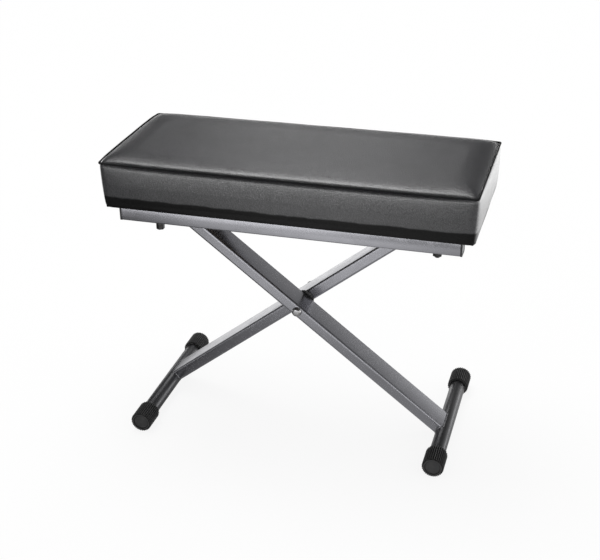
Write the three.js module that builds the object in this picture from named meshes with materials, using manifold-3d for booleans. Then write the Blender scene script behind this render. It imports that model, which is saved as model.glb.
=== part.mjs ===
// Folding keyboard bench: a padded seat on two square rails, carried by a pair of crossed legs.
// Millimetres, +Z up. X runs along the seat, Y towards its back edge, and the floor is at Z = 0
// under the middle of the seat. The front leg falls from upper left to lower right, the rear leg
// from upper right to lower left, and they turn on one bolt where they cross.

import * as THREE from 'three';
import { mergeVertices } from 'three/addons/utils/BufferGeometryUtils.js';
import Module from 'manifold-3d';

const wasm = await Module();
wasm.setup();

// Clearances and facet counts

const gap = 0.3; // between pieces that touch
const overrun = 6; // how far a cutting body runs past what it cuts
const tubeFacets = 32;
const smallFacets = 20;
const screwFacets = 12;
const cornerFacets = 4;

// Driving dimensions

const seat = {
  length: 590,
  depth: 244,
  underside: 399, // height of the board's lower face above the floor
  sideHeight: 75, // underside to seam
  crownRise: 4.6,
  cornerRadius: 6,
  leastCornerRadius: 3,
  sideDraw: 1.4, // how far the sides pull in between the corners
  tuck: 3.6, // how far the cover draws in towards its lower edge
  seamBead: 0.9,
  seamGroove: 1.1,
  rim: 14, // width of the cover turned under round the board
};

const board = { thickness: 12, cornerRadius: 6 };

const rail = {
  side: 25,
  wall: 1.5,
  cornerRadius: 3,
  endInset: 22, // from the cover's ends to the rails' ends
  edgeInset: 15, // from the cover's front edge to the rail's outer face
};

const plug = { flange: 2.6, stem: 12, edge: 0.7 };

const leg = { width: 46, thickness: 20, wall: 1.5, cornerRadius: 2.5 };

const stance = {
  footInset: 45, // from the cover's ends to the foot tubes' axes
  hingeInset: 83.4, // from the cover's ends to the upper pivot axes
  hingeDrop: 18, // from the board's lower face to the upper pivot axes
};

const foot = { radius: 13, wall: 1.5, span: 291 }; // span is over both end caps

const cap = {
  radius: 18,
  length: 28,
  endThickness: 3.4,
  ribs: 32,
  ribDepth: 1.3,
  edge: 0.8,
  discRadius: 12.3,
  discDepth: 1.1,
};

const crossbar = { radius: 11, wall: 1.5 };

const bracket = {
  railClearance: 1, // from the flange's edge to the rail's inner face
  plate: 3,
  flange: 19,
  bendRadius: 1.5,
  hingeFlangeLength: 64,
  earRadius: 14,
  earShoulder: 40, // width of the ear where it leaves the flange
  screwInset: 9, // from the flange's end to the screw
};

const rack = {
  pitch: 26, // between height notches
  sideNotches: 1, // notches on each side of the one in use
  play: 0.4, // slot wall to pin
  notchDepth: 3.5,
  wall: 8,
  leadOut: 22, // from the last notch to the slot's open end
  endRadius: 3,
};

const pin = { radius: 5, headRadius: 7.5, headThickness: 3, collarRadius: 8, bodyLength: 22 };

const insert = { length: 22 };

const washer = { radius: 10, thickness: 1.2 };

const pivotWasher = { radius: 16, thickness: 0.9 };

const bolt = { radius: 4, headAcross: 13, headHeight: 5.4, reach: 20 };

const pivotBolt = { headRadius: 8, headHeight: 6.4, headRim: 1.6, engagement: 6 };

const capNut = { across: 13, hexHeight: 6.2, domeRadius: 5.8 };

const sleeve = { radius: 7.6 };

const railBolt = {
  leftInset: 63, // from the rail's left end
  rightInset: 38.5,
  longNut: { across: 12, height: 12.2, tail: 0 },
  plainNut: { across: 13, height: 6.5, tail: 2.4 },
  reach: 8, // into the board
};

const screw = { radius: 2, headRadius: 4, headHeight: 2.3, rim: 0.3, reach: 8 };

// Shares that shape the cover, from the seam down to the board and from the seam in to the crown

const crownInsetShares = [0.75, 0.48, 0.27, 0.14, 0.06];
const crownPower = 5;
const sideShares = [
  // height below the seam, draw towards the lower edge, pull between the corners
  { heightShare: 0.07, tuckShare: 0.1, drawShare: 0.35 },
  { heightShare: 0.3, tuckShare: 0.16, drawShare: 0.9 },
  { heightShare: 0.56, tuckShare: 0.34, drawShare: 1 },
  { heightShare: 0.78, tuckShare: 0.6, drawShare: 0.7 },
  { heightShare: 0.9, tuckShare: 0.85, drawShare: 0.4 },
  { heightShare: 0.96, tuckShare: 1.2, drawShare: 0.2 },
  { heightShare: 0.99, tuckShare: 1.75, drawShare: 0 },
];
const ribLandShare = 0.3; // half of a rib's land, as a share of the rib's pitch
const ribFlankShare = 0.1;

// Places worked out from the driving dimensions

const ribPitch = (2 * Math.PI) / cap.ribs;
const footHeight = cap.radius * Math.cos(ribPitch * ribLandShare);
const hingeHeight = seat.underside - stance.hingeDrop;
const footX = seat.length / 2 - stance.footInset;
const hingeX = seat.length / 2 - stance.hingeInset;
const legRise = hingeHeight - footHeight;
const legAngle = Math.atan2(legRise, footX + hingeX);
const lowerArm = footX / Math.cos(legAngle);
const upperArm = hingeX / Math.cos(legAngle);
const crossingHeight = footHeight + lowerArm * Math.sin(legAngle);
const legSpacing = pivotWasher.thickness + 2 * gap;
const legOffset = (legSpacing + leg.width) / 2;
const legFace = legOffset + leg.width / 2;
const railHeight = seat.underside - gap - rail.side / 2;
const railReach = seat.length / 2 - rail.endInset;
const railOffset = (seat.depth - rail.side) / 2 - rail.edgeInset;
const railBoltXs = { left: railBolt.leftInset - railReach, right: railReach - railBolt.rightInset };
const bracketInnerFace = railOffset - rail.side / 2 - bracket.railClearance - bracket.flange;
const bracketOuterFace = bracketInnerFace + bracket.plate;
const crossbarHalf = bracketInnerFace - washer.thickness - 2 * gap;
const bracketTop = seat.underside - gap;
const boardInset = seat.rim + gap;

// Materials

function finish(color, roughness, metalness) {
  return new THREE.MeshStandardMaterial({ color, roughness, metalness });
}

const leatherette = finish(0x242426, 0.55, 0);
const plywood = finish(0xb18f62, 0.75, 0);
const coatedSteel = finish(0x4a4b4f, 0.35, 0.75);
const blackRubber = finish(0x2b2b2d, 0.85, 0);
const blackPlastic = finish(0x17171a, 0.5, 0);
const zinc = finish(0x8f9196, 0.35, 0.85);

// Solids

// Returns the geometry with its faces turned out, from the sign of the volume they enclose.
function facingOut(geometry) {
  const closed = geometry.index ? geometry : mergeVertices(geometry);
  const index = closed.index.array;
  const position = closed.attributes.position;
  const [a, b, c] = [new THREE.Vector3(), new THREE.Vector3(), new THREE.Vector3()];
  let volume = 0;
  for (let i = 0; i < index.length; i += 3) {
    a.fromBufferAttribute(position, index[i]);
    b.fromBufferAttribute(position, index[i + 1]);
    c.fromBufferAttribute(position, index[i + 2]);
    volume += a.dot(b.cross(c));
  }
  if (volume < 0) {
    for (let i = 0; i < index.length; i += 3) {
      [index[i], index[i + 1]] = [index[i + 1], index[i]];
    }
  }
  return closed;
}

// Turns a closed geometry into a solid that can be cut and joined.
function solid(geometry) {
  const bare = geometry.clone();
  bare.deleteAttribute('normal');
  bare.deleteAttribute('uv');
  const merged = facingOut(mergeVertices(bare));
  const corners = merged.index.array;
  const triangles = [];
  for (let i = 0; i < corners.length; i += 3) {
    const [a, b, c] = [corners[i], corners[i + 1], corners[i + 2]];
    if (a !== b && b !== c && c !== a) triangles.push(a, b, c);
  }
  const mesh = new wasm.Mesh({
    numProp: 3,
    vertProperties: new Float32Array(merged.attributes.position.array),
    triVerts: new Uint32Array(triangles),
  });
  return new wasm.Manifold(mesh);
}

// Turns a solid back into a geometry.
function meshed(body) {
  const { vertProperties, triVerts } = body.getMesh();
  const geometry = new THREE.BufferGeometry();
  geometry.setAttribute('position', new THREE.BufferAttribute(vertProperties, 3));
  geometry.setIndex(new THREE.BufferAttribute(triVerts, 1));
  return geometry;
}

function cut(base, ...tools) {
  return meshed(tools.reduce((body, tool) => body.subtract(solid(tool)), solid(base)));
}

function join(first, ...others) {
  return meshed(others.reduce((body, other) => body.add(solid(other)), solid(first)));
}

function overlap(first, second) {
  return meshed(solid(first).intersect(solid(second)));
}

// Places a piece in the model under its own name.
function piece(name, geometry, material, x = 0, y = 0, z = 0) {
  const outward = facingOut(geometry);
  outward.computeVertexNormals();
  const mesh = new THREE.Mesh(outward, material);
  mesh.name = name;
  mesh.position.set(x, y, z);
  return mesh;
}

// Shapes

// A rectangle with round corners about the origin, as a Shape or, for a hole, a Path.
function roundedRectangle(width, height, radius, Kind = THREE.Shape) {
  const [x, y] = [width / 2 - radius, height / 2 - radius];
  const outline = new Kind();
  outline.absarc(x, y, radius, 0, Math.PI / 2, false);
  outline.absarc(-x, y, radius, Math.PI / 2, Math.PI, false);
  outline.absarc(-x, -y, radius, Math.PI, 1.5 * Math.PI, false);
  outline.absarc(x, -y, radius, 1.5 * Math.PI, 2 * Math.PI, false);
  outline.closePath();
  return outline;
}

function extruded(shape, depth, curveSegments = cornerFacets) {
  return new THREE.ExtrudeGeometry(shape, { depth, curveSegments, bevelEnabled: false });
}

// Extrudes an outline drawn in X and Z along Y, from low to high.
function extrudedAcross(shape, low, high, curveSegments = cornerFacets) {
  const basis = new THREE.Matrix4().makeBasis(
    new THREE.Vector3(1, 0, 0),
    new THREE.Vector3(0, 0, 1),
    new THREE.Vector3(0, -1, 0),
  );
  const geometry = extruded(shape, high - low, curveSegments).applyMatrix4(basis);
  return geometry.translate(0, high, 0);
}

// Revolves a profile of [radius, distance] pairs about Y.
function turned(profile, facets = smallFacets) {
  const points = profile.map(([radius, along]) => new THREE.Vector2(radius, along));
  return new THREE.LatheGeometry(points, facets);
}

// A pipe about Y, centred on the origin.
function pipe(radius, bore, length, facets = tubeFacets) {
  const half = length / 2;
  return turned([[bore, -half], [radius, -half], [radius, half], [bore, half], [bore, -half]], facets);
}

// A rectangular tube along X from X = 0, its width along Y.
function squareTube(height, width, wall, cornerRadius, length) {
  const outline = roundedRectangle(height, width, cornerRadius);
  const bore = [height - 2 * wall, width - 2 * wall, cornerRadius - wall];
  outline.holes.push(roundedRectangle(...bore, THREE.Path));
  return extruded(outline, length).rotateY(Math.PI / 2);
}

// A plain rod centred on the origin along the axis 'x', 'y' or 'z'.
function rod(radius, length, axis, facets = smallFacets) {
  const geometry = new THREE.CylinderGeometry(radius, radius, length, facets);
  if (axis === 'x') geometry.rotateZ(Math.PI / 2);
  if (axis === 'z') geometry.rotateX(Math.PI / 2);
  return geometry;
}

// Seat

// One ring of the cover: a rounded rectangle set in from the seam, whose sides draw in
// between the corners.
function coverRing(inset, height, draw) {
  const cornerSteps = 4;
  const sideSteps = [10, 5];
  const radius = Math.max(seat.cornerRadius - inset, seat.leastCornerRadius);
  const x = seat.length / 2 - inset - radius;
  const y = seat.depth / 2 - inset - radius;
  const centres = [[x, y], [-x, y], [-x, -y], [x, -y]];
  const points = [];
  centres.forEach(([cx, cy], corner) => {
    for (let step = 0; step <= cornerSteps; step += 1) {
      const angle = (corner + step / cornerSteps) * (Math.PI / 2);
      points.push(new THREE.Vector3(cx + radius * Math.cos(angle), cy + radius * Math.sin(angle), height));
    }
    const start = points[points.length - 1];
    const outward = new THREE.Vector3(
      Math.cos((corner + 1) * (Math.PI / 2)),
      Math.sin((corner + 1) * (Math.PI / 2)),
      0,
    );
    const [nx, ny] = centres[(corner + 1) % centres.length];
    const end = new THREE.Vector3(nx, ny, height).addScaledVector(outward, radius);
    const steps = sideSteps[corner % 2];
    for (let step = 1; step < steps; step += 1) {
      const along = step / steps;
      const point = start.clone().lerp(end, along);
      points.push(point.addScaledVector(outward, -draw * Math.sin(Math.PI * along)));
    }
  });
  return points;
}

// Joins rings of equal counts, and closes the first and last with a fan to their middle.
function loft(rings) {
  const count = rings[0].length;
  const middle = (ring) => ring.reduce((sum, p) => sum.add(p), new THREE.Vector3()).divideScalar(count);
  const points = [middle(rings[0]), ...rings.flat(), middle(rings[rings.length - 1])];
  const index = [];
  const at = (ring, i) => 1 + ring * count + (i % count);
  for (let i = 0; i < count; i += 1) {
    index.push(0, at(0, i), at(0, i + 1));
    for (let ring = 0; ring < rings.length - 1; ring += 1) {
      index.push(at(ring, i), at(ring + 1, i), at(ring, i + 1));
      index.push(at(ring + 1, i), at(ring + 1, i + 1), at(ring, i + 1));
    }
    index.push(points.length - 1, at(rings.length - 1, i + 1), at(rings.length - 1, i));
  }
  return new THREE.BufferGeometry().setFromPoints(points).setIndex(index);
}

// The stuffed cover: crown, sewn bead, drawn-in sides, and a recess for the board underneath.
function seatCushion() {
  const seam = seat.underside + seat.sideHeight;
  const crown = crownInsetShares.map((share) => {
    const rise = seat.crownRise * (1 - (1 - share) ** crownPower);
    return coverRing(share * (seat.depth / 2), seam + rise, 0);
  });
  const bead = [
    coverRing(seat.seamGroove + seat.seamBead, seam + seat.seamBead, 0),
    coverRing(0, seam + seat.seamBead / 2, 0),
    coverRing(0, seam - seat.seamBead / 2, 0),
    coverRing(seat.seamGroove, seam - seat.seamBead, 0),
  ];
  const sides = sideShares.map(({ heightShare, tuckShare, drawShare }) =>
    coverRing(tuckShare * seat.tuck, seam - heightShare * seat.sideHeight, drawShare * seat.sideDraw),
  );
  const recess = [
    coverRing(2 * seat.tuck, seat.underside, 0),
    coverRing(seat.rim, seat.underside, 0),
    coverRing(seat.rim, seat.underside + board.thickness + gap, 0),
  ];
  return loft([...crown, ...bead, ...sides, ...recess]);
}

// Every fastener that runs up into the board, with the radius and depth of its hole.
function boardHoles() {
  const holes = [];
  for (const side of [-1, 1]) {
    for (const x of Object.values(railBoltXs)) {
      holes.push({ x, y: side * railOffset, radius: bolt.radius, reach: railBolt.reach });
    }
    for (const x of [...hingeScrewXs(), ...rackScrewXs()]) {
      holes.push({ x, y: side * screwOffset, radius: screw.radius, reach: screw.reach });
    }
  }
  return holes;
}

function seatBoard() {
  const outline = roundedRectangle(
    seat.length - 2 * boardInset,
    seat.depth - 2 * boardInset,
    board.cornerRadius,
  );
  const tools = boardHoles().map(({ x, y, radius, reach }) => {
    const length = 2 * (reach + gap);
    return rod(radius + gap, length, 'z', screwFacets).translate(x, y, 0);
  });
  return cut(extruded(outline, board.thickness), ...tools);
}

// Rails

// A square tube along X, drilled through for the bolts that hold it to the board.
function seatRail() {
  const length = 2 * (railReach - plug.flange - gap);
  const tube = squareTube(rail.side, rail.side, rail.wall, rail.cornerRadius, length);
  const holes = Object.values(railBoltXs).map((x) =>
    rod(bolt.radius + gap, rail.side + 2 * overrun, 'z').translate(x, 0, 0),
  );
  return cut(tube.translate(-length / 2, 0, 0), ...holes);
}

// A push-in end plug along X, its flange's inner face at X = 0 and its stem below that. The
// flange's outer rim is bevelled.
function railPlug() {
  const stemSide = rail.side - 2 * (rail.wall + gap);
  const stemOutline = roundedRectangle(stemSide, stemSide, rail.cornerRadius - rail.wall);
  const stem = extruded(stemOutline, plug.stem + plug.edge).translate(0, 0, -plug.stem);
  const flatSide = rail.side - 2 * plug.edge;
  const flat = roundedRectangle(flatSide, flatSide, rail.cornerRadius - plug.edge);
  const flange = new THREE.ExtrudeGeometry(flat, {
    depth: plug.flange - plug.edge,
    curveSegments: cornerFacets,
    bevelSize: plug.edge,
    bevelThickness: plug.edge,
    bevelSegments: 2,
  });
  const backing = rod(rail.side, 2 * plug.edge, 'z').translate(0, 0, -plug.edge);
  return join(cut(flange, backing), stem).rotateY(Math.PI / 2);
}

// A hexagon head about Z that hangs from Z = 0, with a shank that rises by reach and, for a
// nut on a through bolt, a tail that shows below it.
function hexBolt(across, headHeight, radius, reach, tail = 0) {
  const head = new THREE.CylinderGeometry(across / Math.sqrt(3), across / Math.sqrt(3), headHeight, 6);
  head.rotateX(Math.PI / 2).translate(0, 0, -headHeight / 2);
  const foot = tail > 0 ? headHeight + tail : headHeight / 2;
  const shank = rod(radius, reach + foot, 'z').translate(0, 0, (reach - foot) / 2);
  return join(head, shank);
}

// A domed head about Z that hangs from Z = 0, with a shank that rises by reach.
function domedBolt(headRadius, headHeight, rim, radius, reach, facets = smallFacets) {
  const rise = headHeight - rim;
  const ball = (headRadius ** 2 + rise ** 2) / (2 * rise);
  const sweep = Math.asin(headRadius / ball);
  const steps = facets / 4;
  const profile = [];
  for (let step = 0; step <= steps; step += 1) {
    const angle = (sweep * step) / steps;
    profile.push([ball * Math.sin(angle), -headHeight + ball * (1 - Math.cos(angle))]);
  }
  profile.push([headRadius, 0], [radius, 0], [radius, reach], [0, reach]);
  return turned(profile, facets).rotateX(Math.PI / 2);
}

// Brackets

const screwOffset = (bracketOuterFace + bracketInnerFace + bracket.flange) / 2;
const rackLeft = -(rack.sideNotches * rack.pitch + pin.radius + rack.play + rack.wall);
const rackRight = rack.sideNotches * rack.pitch + rack.leadOut;
const bracketRise = bracketTop - hingeHeight;

function hingeScrewXs() {
  const reach = bracket.hingeFlangeLength / 2 - bracket.screwInset;
  return [-hingeX - reach, -hingeX + reach];
}

function rackScrewXs() {
  return [hingeX + rackLeft + bracket.screwInset, hingeX + rackRight - bracket.screwInset];
}

// A bent angle whose upright stands on the inner side and whose flange lies against the
// board, from low to high along X and from the pivot axis's height drop upwards.
function angleStrip(low, high, drop, side) {
  const { plate, flange, bendRadius } = bracket;
  const outer = bendRadius + plate;
  const section = new THREE.Shape();
  section.moveTo(0, -drop);
  section.lineTo(plate, -drop);
  section.lineTo(plate, bracketRise - outer);
  section.absarc(outer, bracketRise - outer, bendRadius, Math.PI, Math.PI / 2, true);
  section.lineTo(flange, bracketRise - plate);
  section.lineTo(flange, bracketRise);
  section.lineTo(outer, bracketRise);
  section.absarc(outer, bracketRise - outer, outer, Math.PI / 2, Math.PI, false);
  section.closePath();
  const basis = new THREE.Matrix4().makeBasis(
    new THREE.Vector3(0, side, 0),
    new THREE.Vector3(0, 0, 1),
    new THREE.Vector3(1, 0, 0),
  );
  const strip = extruded(section, high - low).applyMatrix4(basis);
  return strip.translate(low, side * bracketInnerFace, 0);
}

// Trims an angle strip to an outline drawn in X and Z, and drills its flange.
function trimmedBracket(strip, outline, side, screwXs) {
  const reach = bracketInnerFace + bracket.flange + overrun;
  const [low, high] = side < 0 ? [-reach, 0] : [0, reach];
  const trimmed = overlap(strip, extrudedAcross(outline, low, high, screwFacets / 2));
  const holes = screwXs.map((x) => {
    const hole = rod(screw.radius + gap, 2 * overrun, 'z', screwFacets);
    return hole.translate(x, side * screwOffset, bracketRise);
  });
  return cut(trimmed, ...holes);
}

// The ear that the front leg's upper cross tube turns in.
function hingeBracket(side) {
  const half = bracket.hingeFlangeLength / 2;
  const shoulder = bracketRise - bracket.plate - bracket.bendRadius;
  const outline = new THREE.Shape();
  outline.moveTo(-half, bracketRise + gap);
  outline.lineTo(-half, shoulder);
  outline.lineTo(-bracket.earShoulder / 2, shoulder);
  outline.lineTo(-bracket.earRadius, 0);
  outline.absarc(0, 0, bracket.earRadius, Math.PI, 2 * Math.PI, false);
  outline.lineTo(bracket.earShoulder / 2, shoulder);
  outline.lineTo(half, shoulder);
  outline.lineTo(half, bracketRise + gap);
  outline.closePath();
  const hole = new THREE.Path();
  hole.absarc(0, 0, bolt.radius + gap, 0, 2 * Math.PI, true);
  outline.holes.push(hole);
  const strip = angleStrip(-half, half, bracket.earRadius, side);
  const screws = hingeScrewXs().map((x) => x + hingeX);
  return trimmedBracket(strip, outline, side, screws);
}

// The slotted plate that holds the rear leg's pins: a slot with round height notches in its
// upper edge, open at the outer end so that the pins can leave it when the bench folds.
function notchBracket(side) {
  const slot = pin.radius + rack.play;
  const dip = slot - rack.notchDepth;
  const mouth = Math.asin(dip / slot);
  const lower = slot + rack.wall;
  const corner = rack.endRadius;
  const first = -rack.sideNotches * rack.pitch;
  const outline = new THREE.Shape();
  outline.moveTo(rackLeft, bracketRise + gap);
  outline.lineTo(rackLeft, corner - lower);
  outline.absarc(rackLeft + corner, corner - lower, corner, Math.PI, 1.5 * Math.PI, false);
  outline.lineTo(rackRight - corner, -lower);
  outline.absarc(rackRight - corner, corner - lower, corner, 1.5 * Math.PI, 2 * Math.PI, false);
  outline.lineTo(rackRight, -slot);
  outline.lineTo(first, -slot);
  outline.absarc(first, 0, slot, 1.5 * Math.PI, Math.PI, true);
  outline.lineTo(first - slot, rack.notchDepth);
  for (let notch = -rack.sideNotches; notch <= rack.sideNotches; notch += 1) {
    const x = notch * rack.pitch;
    const start = notch === -rack.sideNotches ? Math.PI : Math.PI - mouth;
    outline.absarc(x, rack.notchDepth, slot, start, mouth, true);
  }
  outline.lineTo(rackRight, slot);
  outline.lineTo(rackRight, bracketRise + gap);
  outline.closePath();
  const strip = angleStrip(rackLeft, rackRight, lower, side);
  const screws = rackScrewXs().map((x) => x - hingeX);
  return trimmedBracket(strip, outline, side, screws);
}

// Legs

// A rectangular tube along X with the crossing bolt's hole at the origin. Its upper end is
// coped round the cross tube and its lower end round the foot tube.
function legTube() {
  const { thickness, width, wall, cornerRadius } = leg;
  const tube = squareTube(thickness, width, wall, cornerRadius, upperArm + lowerArm);
  const across = width + 2 * overrun;
  return cut(
    tube.translate(-upperArm, 0, 0),
    rod(crossbar.radius + gap, across, 'y', tubeFacets).translate(-upperArm, 0, 0),
    rod(foot.radius + gap, across, 'y', tubeFacets).translate(lowerArm, 0, 0),
    rod(bolt.radius + gap, across, 'y'),
  );
}

// The spacer inside a leg that the crossing bolt clamps against.
function crossingSleeve() {
  return pipe(sleeve.radius, bolt.radius + gap, leg.width - 2 * (leg.wall + gap), smallFacets);
}

function upperCrossTube() {
  return pipe(crossbar.radius, crossbar.radius - crossbar.wall, 2 * crossbarHalf);
}

// The threaded plug in the front leg's cross tube, its outer face at Y = 0.
function threadedInsert() {
  const radius = crossbar.radius - crossbar.wall - gap;
  return pipe(radius, bolt.radius + gap, insert.length, smallFacets).translate(0, -insert.length / 2, 0);
}

// The shouldered pin in the rear leg's cross tube, its shoulder at Y = 0: body, collar,
// the journal that stands in the slot, and the head outside the plate.
function notchPin() {
  const body = crossbar.radius - crossbar.wall - gap;
  const plateNear = bracketInnerFace - crossbarHalf;
  const plateFar = plateNear + bracket.plate;
  const headStart = plateFar + 2 * gap;
  const headEnd = headStart + pin.headThickness;
  return turned([
    [0, -pin.bodyLength],
    [body, -pin.bodyLength],
    [body, 0],
    [pin.collarRadius, 0],
    [pin.collarRadius, plateNear - gap],
    [pin.radius, plateNear - gap],
    [pin.radius, headStart],
    [pin.headRadius, headStart],
    [pin.headRadius, headEnd - gap],
    [pin.headRadius - gap, headEnd],
    [0, headEnd],
  ]);
}

// Feet

function footTube() {
  const length = foot.span - 2 * (cap.endThickness + gap);
  return pipe(foot.radius, foot.radius - foot.wall, length);
}

// A ribbed end cap about Y, its closed face at Y = 0 and its mouth below, with a rib's land
// facing straight down.
function footCap() {
  const ribbed = new THREE.Shape();
  const valley = cap.radius - cap.ribDepth;
  for (let rib = 0; rib < cap.ribs; rib += 1) {
    const corners = [
      [-ribLandShare - ribFlankShare, valley],
      [-ribLandShare, cap.radius],
      [ribLandShare, cap.radius],
      [ribLandShare + ribFlankShare, valley],
    ];
    corners.forEach(([share, radius], i) => {
      const angle = -Math.PI / 2 + (rib + share) * ribPitch;
      const [x, z] = [radius * Math.cos(angle), radius * Math.sin(angle)];
      if (rib + i === 0) ribbed.moveTo(x, z);
      else ribbed.lineTo(x, z);
    });
  }
  ribbed.closePath();
  const bore = new THREE.Path();
  bore.absarc(0, 0, foot.radius + gap, 0, 2 * Math.PI, true);
  ribbed.holes.push(bore);
  const sleeveDepth = cap.length - cap.edge - cap.discDepth;
  const sleevePart = extrudedAcross(ribbed, -cap.length, sleeveDepth - cap.length, tubeFacets / 2);
  const face = turned([
    [0, -cap.endThickness],
    [foot.radius + cap.edge, -cap.endThickness],
    [valley, -cap.endThickness],
    [valley, -cap.edge],
    [valley - cap.edge, 0],
    [cap.discRadius, 0],
    [cap.discRadius - cap.edge, -cap.discDepth],
    [0, -cap.discDepth],
  ], tubeFacets);
  return join(sleevePart, face);
}

// Crossing hardware

// The closed nut at the back of the crossing bolt, about Y with its seat at Y = 0.
function closedNut() {
  const hexRadius = capNut.across / Math.sqrt(3);
  const hex = new THREE.CylinderGeometry(hexRadius, hexRadius, capNut.hexHeight, 6);
  hex.translate(0, capNut.hexHeight / 2, 0);
  const dome = new THREE.SphereGeometry(capNut.domeRadius, smallFacets, smallFacets / 2);
  dome.translate(0, capNut.hexHeight, 0);
  const bore = rod(bolt.radius + gap, 2 * (pivotBolt.engagement + gap), 'y');
  return cut(join(hex, dome), bore);
}

// Assembly

function seatAssembly() {
  const group = new THREE.Group();
  group.add(piece('seat_cushion', seatCushion(), leatherette));
  group.add(piece('seat_board', seatBoard(), plywood, 0, 0, seat.underside));
  for (const [place, side] of [['front', -1], ['rear', 1]]) {
    const y = side * railOffset;
    group.add(piece(`${place}_rail`, seatRail(), coatedSteel, 0, y, railHeight));
    for (const [end, way] of [['left', -1], ['right', 1]]) {
      const x = way * (railReach - plug.flange);
      const endPlug = piece(`${place}_rail_plug_${end}`, railPlug(), blackPlastic, x, y, railHeight);
      endPlug.rotation.z = way > 0 ? 0 : Math.PI;
      group.add(endPlug);
    }
    const nutSeat = railHeight - rail.side / 2 - gap;
    const shank = seat.underside + railBolt.reach - nutSeat;
    const { longNut, plainNut } = railBolt;
    const left = hexBolt(longNut.across, longNut.height, bolt.radius, shank, longNut.tail);
    const right = hexBolt(plainNut.across, plainNut.height, bolt.radius, shank, plainNut.tail);
    group.add(piece(`${place}_rail_bolt_left`, left, zinc, railBoltXs.left, y, nutSeat));
    group.add(piece(`${place}_rail_bolt_right`, right, zinc, railBoltXs.right, y, nutSeat));
    group.add(piece(`${place}_hinge_bracket`, hingeBracket(side), coatedSteel, -hingeX, 0, hingeHeight));
    group.add(piece(`${place}_notch_bracket`, notchBracket(side), coatedSteel, hingeX, 0, hingeHeight));
    [...hingeScrewXs(), ...rackScrewXs()].forEach((x, i) => {
      const headHeight = bracketTop - bracket.plate - gap;
      const length = seat.underside + screw.reach - headHeight;
      const { headRadius, headHeight: rise, rim, radius } = screw;
      const body = domedBolt(headRadius, rise, rim, radius, length, screwFacets);
      group.add(piece(`${place}_bracket_screw_${i + 1}`, body, zinc, x, side * screwOffset, headHeight));
    });
  }
  return group;
}

// What both legs have: tube, sleeve, upper cross tube, foot tube and end caps. The way is 1
// for the leg whose foot stands on the right.
function legCommon(legName, footName, way, y) {
  const group = new THREE.Group();
  const tube = piece(`${legName}_tube`, legTube(), coatedSteel, 0, y, crossingHeight);
  tube.rotation.y = way > 0 ? legAngle : Math.PI - legAngle;
  group.add(tube);
  group.add(piece(`${legName}_sleeve`, crossingSleeve(), zinc, 0, y, crossingHeight));
  group.add(piece(`${legName}_cross_tube`, upperCrossTube(), coatedSteel, -way * hingeX, 0, hingeHeight));
  const x = way * footX;
  group.add(piece(`${footName}_foot_tube`, footTube(), coatedSteel, x, 0, footHeight));
  for (const [place, side] of [['front', -1], ['rear', 1]]) {
    const body = footCap().scale(1, side, 1);
    const name = `${footName}_foot_cap_${place}`;
    group.add(piece(name, body, blackRubber, x, (side * foot.span) / 2, footHeight));
  }
  return group;
}

function frontLeg() {
  const group = legCommon('front_leg', 'right', 1, -legOffset);
  for (const [place, side] of [['front', -1], ['rear', 1]]) {
    const plugBody = threadedInsert().scale(1, side, 1);
    group.add(piece(`front_leg_insert_${place}`, plugBody, zinc, -hingeX, side * crossbarHalf, hingeHeight));
    const ring = pipe(washer.radius, bolt.radius + gap, washer.thickness, smallFacets);
    const ringY = side * (crossbarHalf + gap + washer.thickness / 2);
    group.add(piece(`hinge_washer_${place}`, ring, blackPlastic, -hingeX, ringY, hingeHeight));
    const body = hexBolt(bolt.headAcross, bolt.headHeight, bolt.radius, bolt.reach);
    const headY = side * (bracketOuterFace + gap);
    const hingeBolt = piece(`hinge_bolt_${place}`, body, zinc, -hingeX, headY, hingeHeight);
    hingeBolt.rotation.x = side * (Math.PI / 2);
    group.add(hingeBolt);
  }
  const nutSeat = legFace + washer.thickness + 2 * gap;
  const length = legFace + gap + nutSeat + pivotBolt.engagement;
  const body = domedBolt(pivotBolt.headRadius, pivotBolt.headHeight, pivotBolt.headRim, bolt.radius, length);
  const crossingBolt = piece('crossing_bolt', body, zinc, 0, -legFace - gap, crossingHeight);
  crossingBolt.rotation.x = -Math.PI / 2;
  group.add(crossingBolt);
  const between = pipe(pivotWasher.radius, bolt.radius + gap, pivotWasher.thickness, smallFacets);
  group.add(piece('crossing_washer', between, blackPlastic, 0, 0, crossingHeight));
  const backing = pipe(washer.radius, bolt.radius + gap, washer.thickness, smallFacets);
  const backingY = legFace + gap + washer.thickness / 2;
  group.add(piece('crossing_rear_washer', backing, zinc, 0, backingY, crossingHeight));
  group.add(piece('crossing_nut', closedNut(), zinc, 0, nutSeat, crossingHeight));
  return group;
}

function rearLeg() {
  const group = legCommon('rear_leg', 'left', -1, legOffset);
  for (const [place, side] of [['front', -1], ['rear', 1]]) {
    const body = notchPin().scale(1, side, 1);
    group.add(piece(`notch_pin_${place}`, body, zinc, hingeX, side * crossbarHalf, hingeHeight));
  }
  return group;
}

const bench = new THREE.Group();
bench.add(seatAssembly(), frontLeg(), rearLeg());

export default bench;
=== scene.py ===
"""The looks of a folding keyboard bench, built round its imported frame: a piped leatherette cover
over foam, coated steel rails and crossed legs, ribbed rubber feet and plated fasteners.

Metres, +Z up, in the frame's own axes.
"""

import logging
import math
from collections.abc import Callable, Sequence
from dataclasses import dataclass, field
from enum import Enum

import bmesh
import bpy
from mathutils import Matrix, Vector, noise


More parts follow.
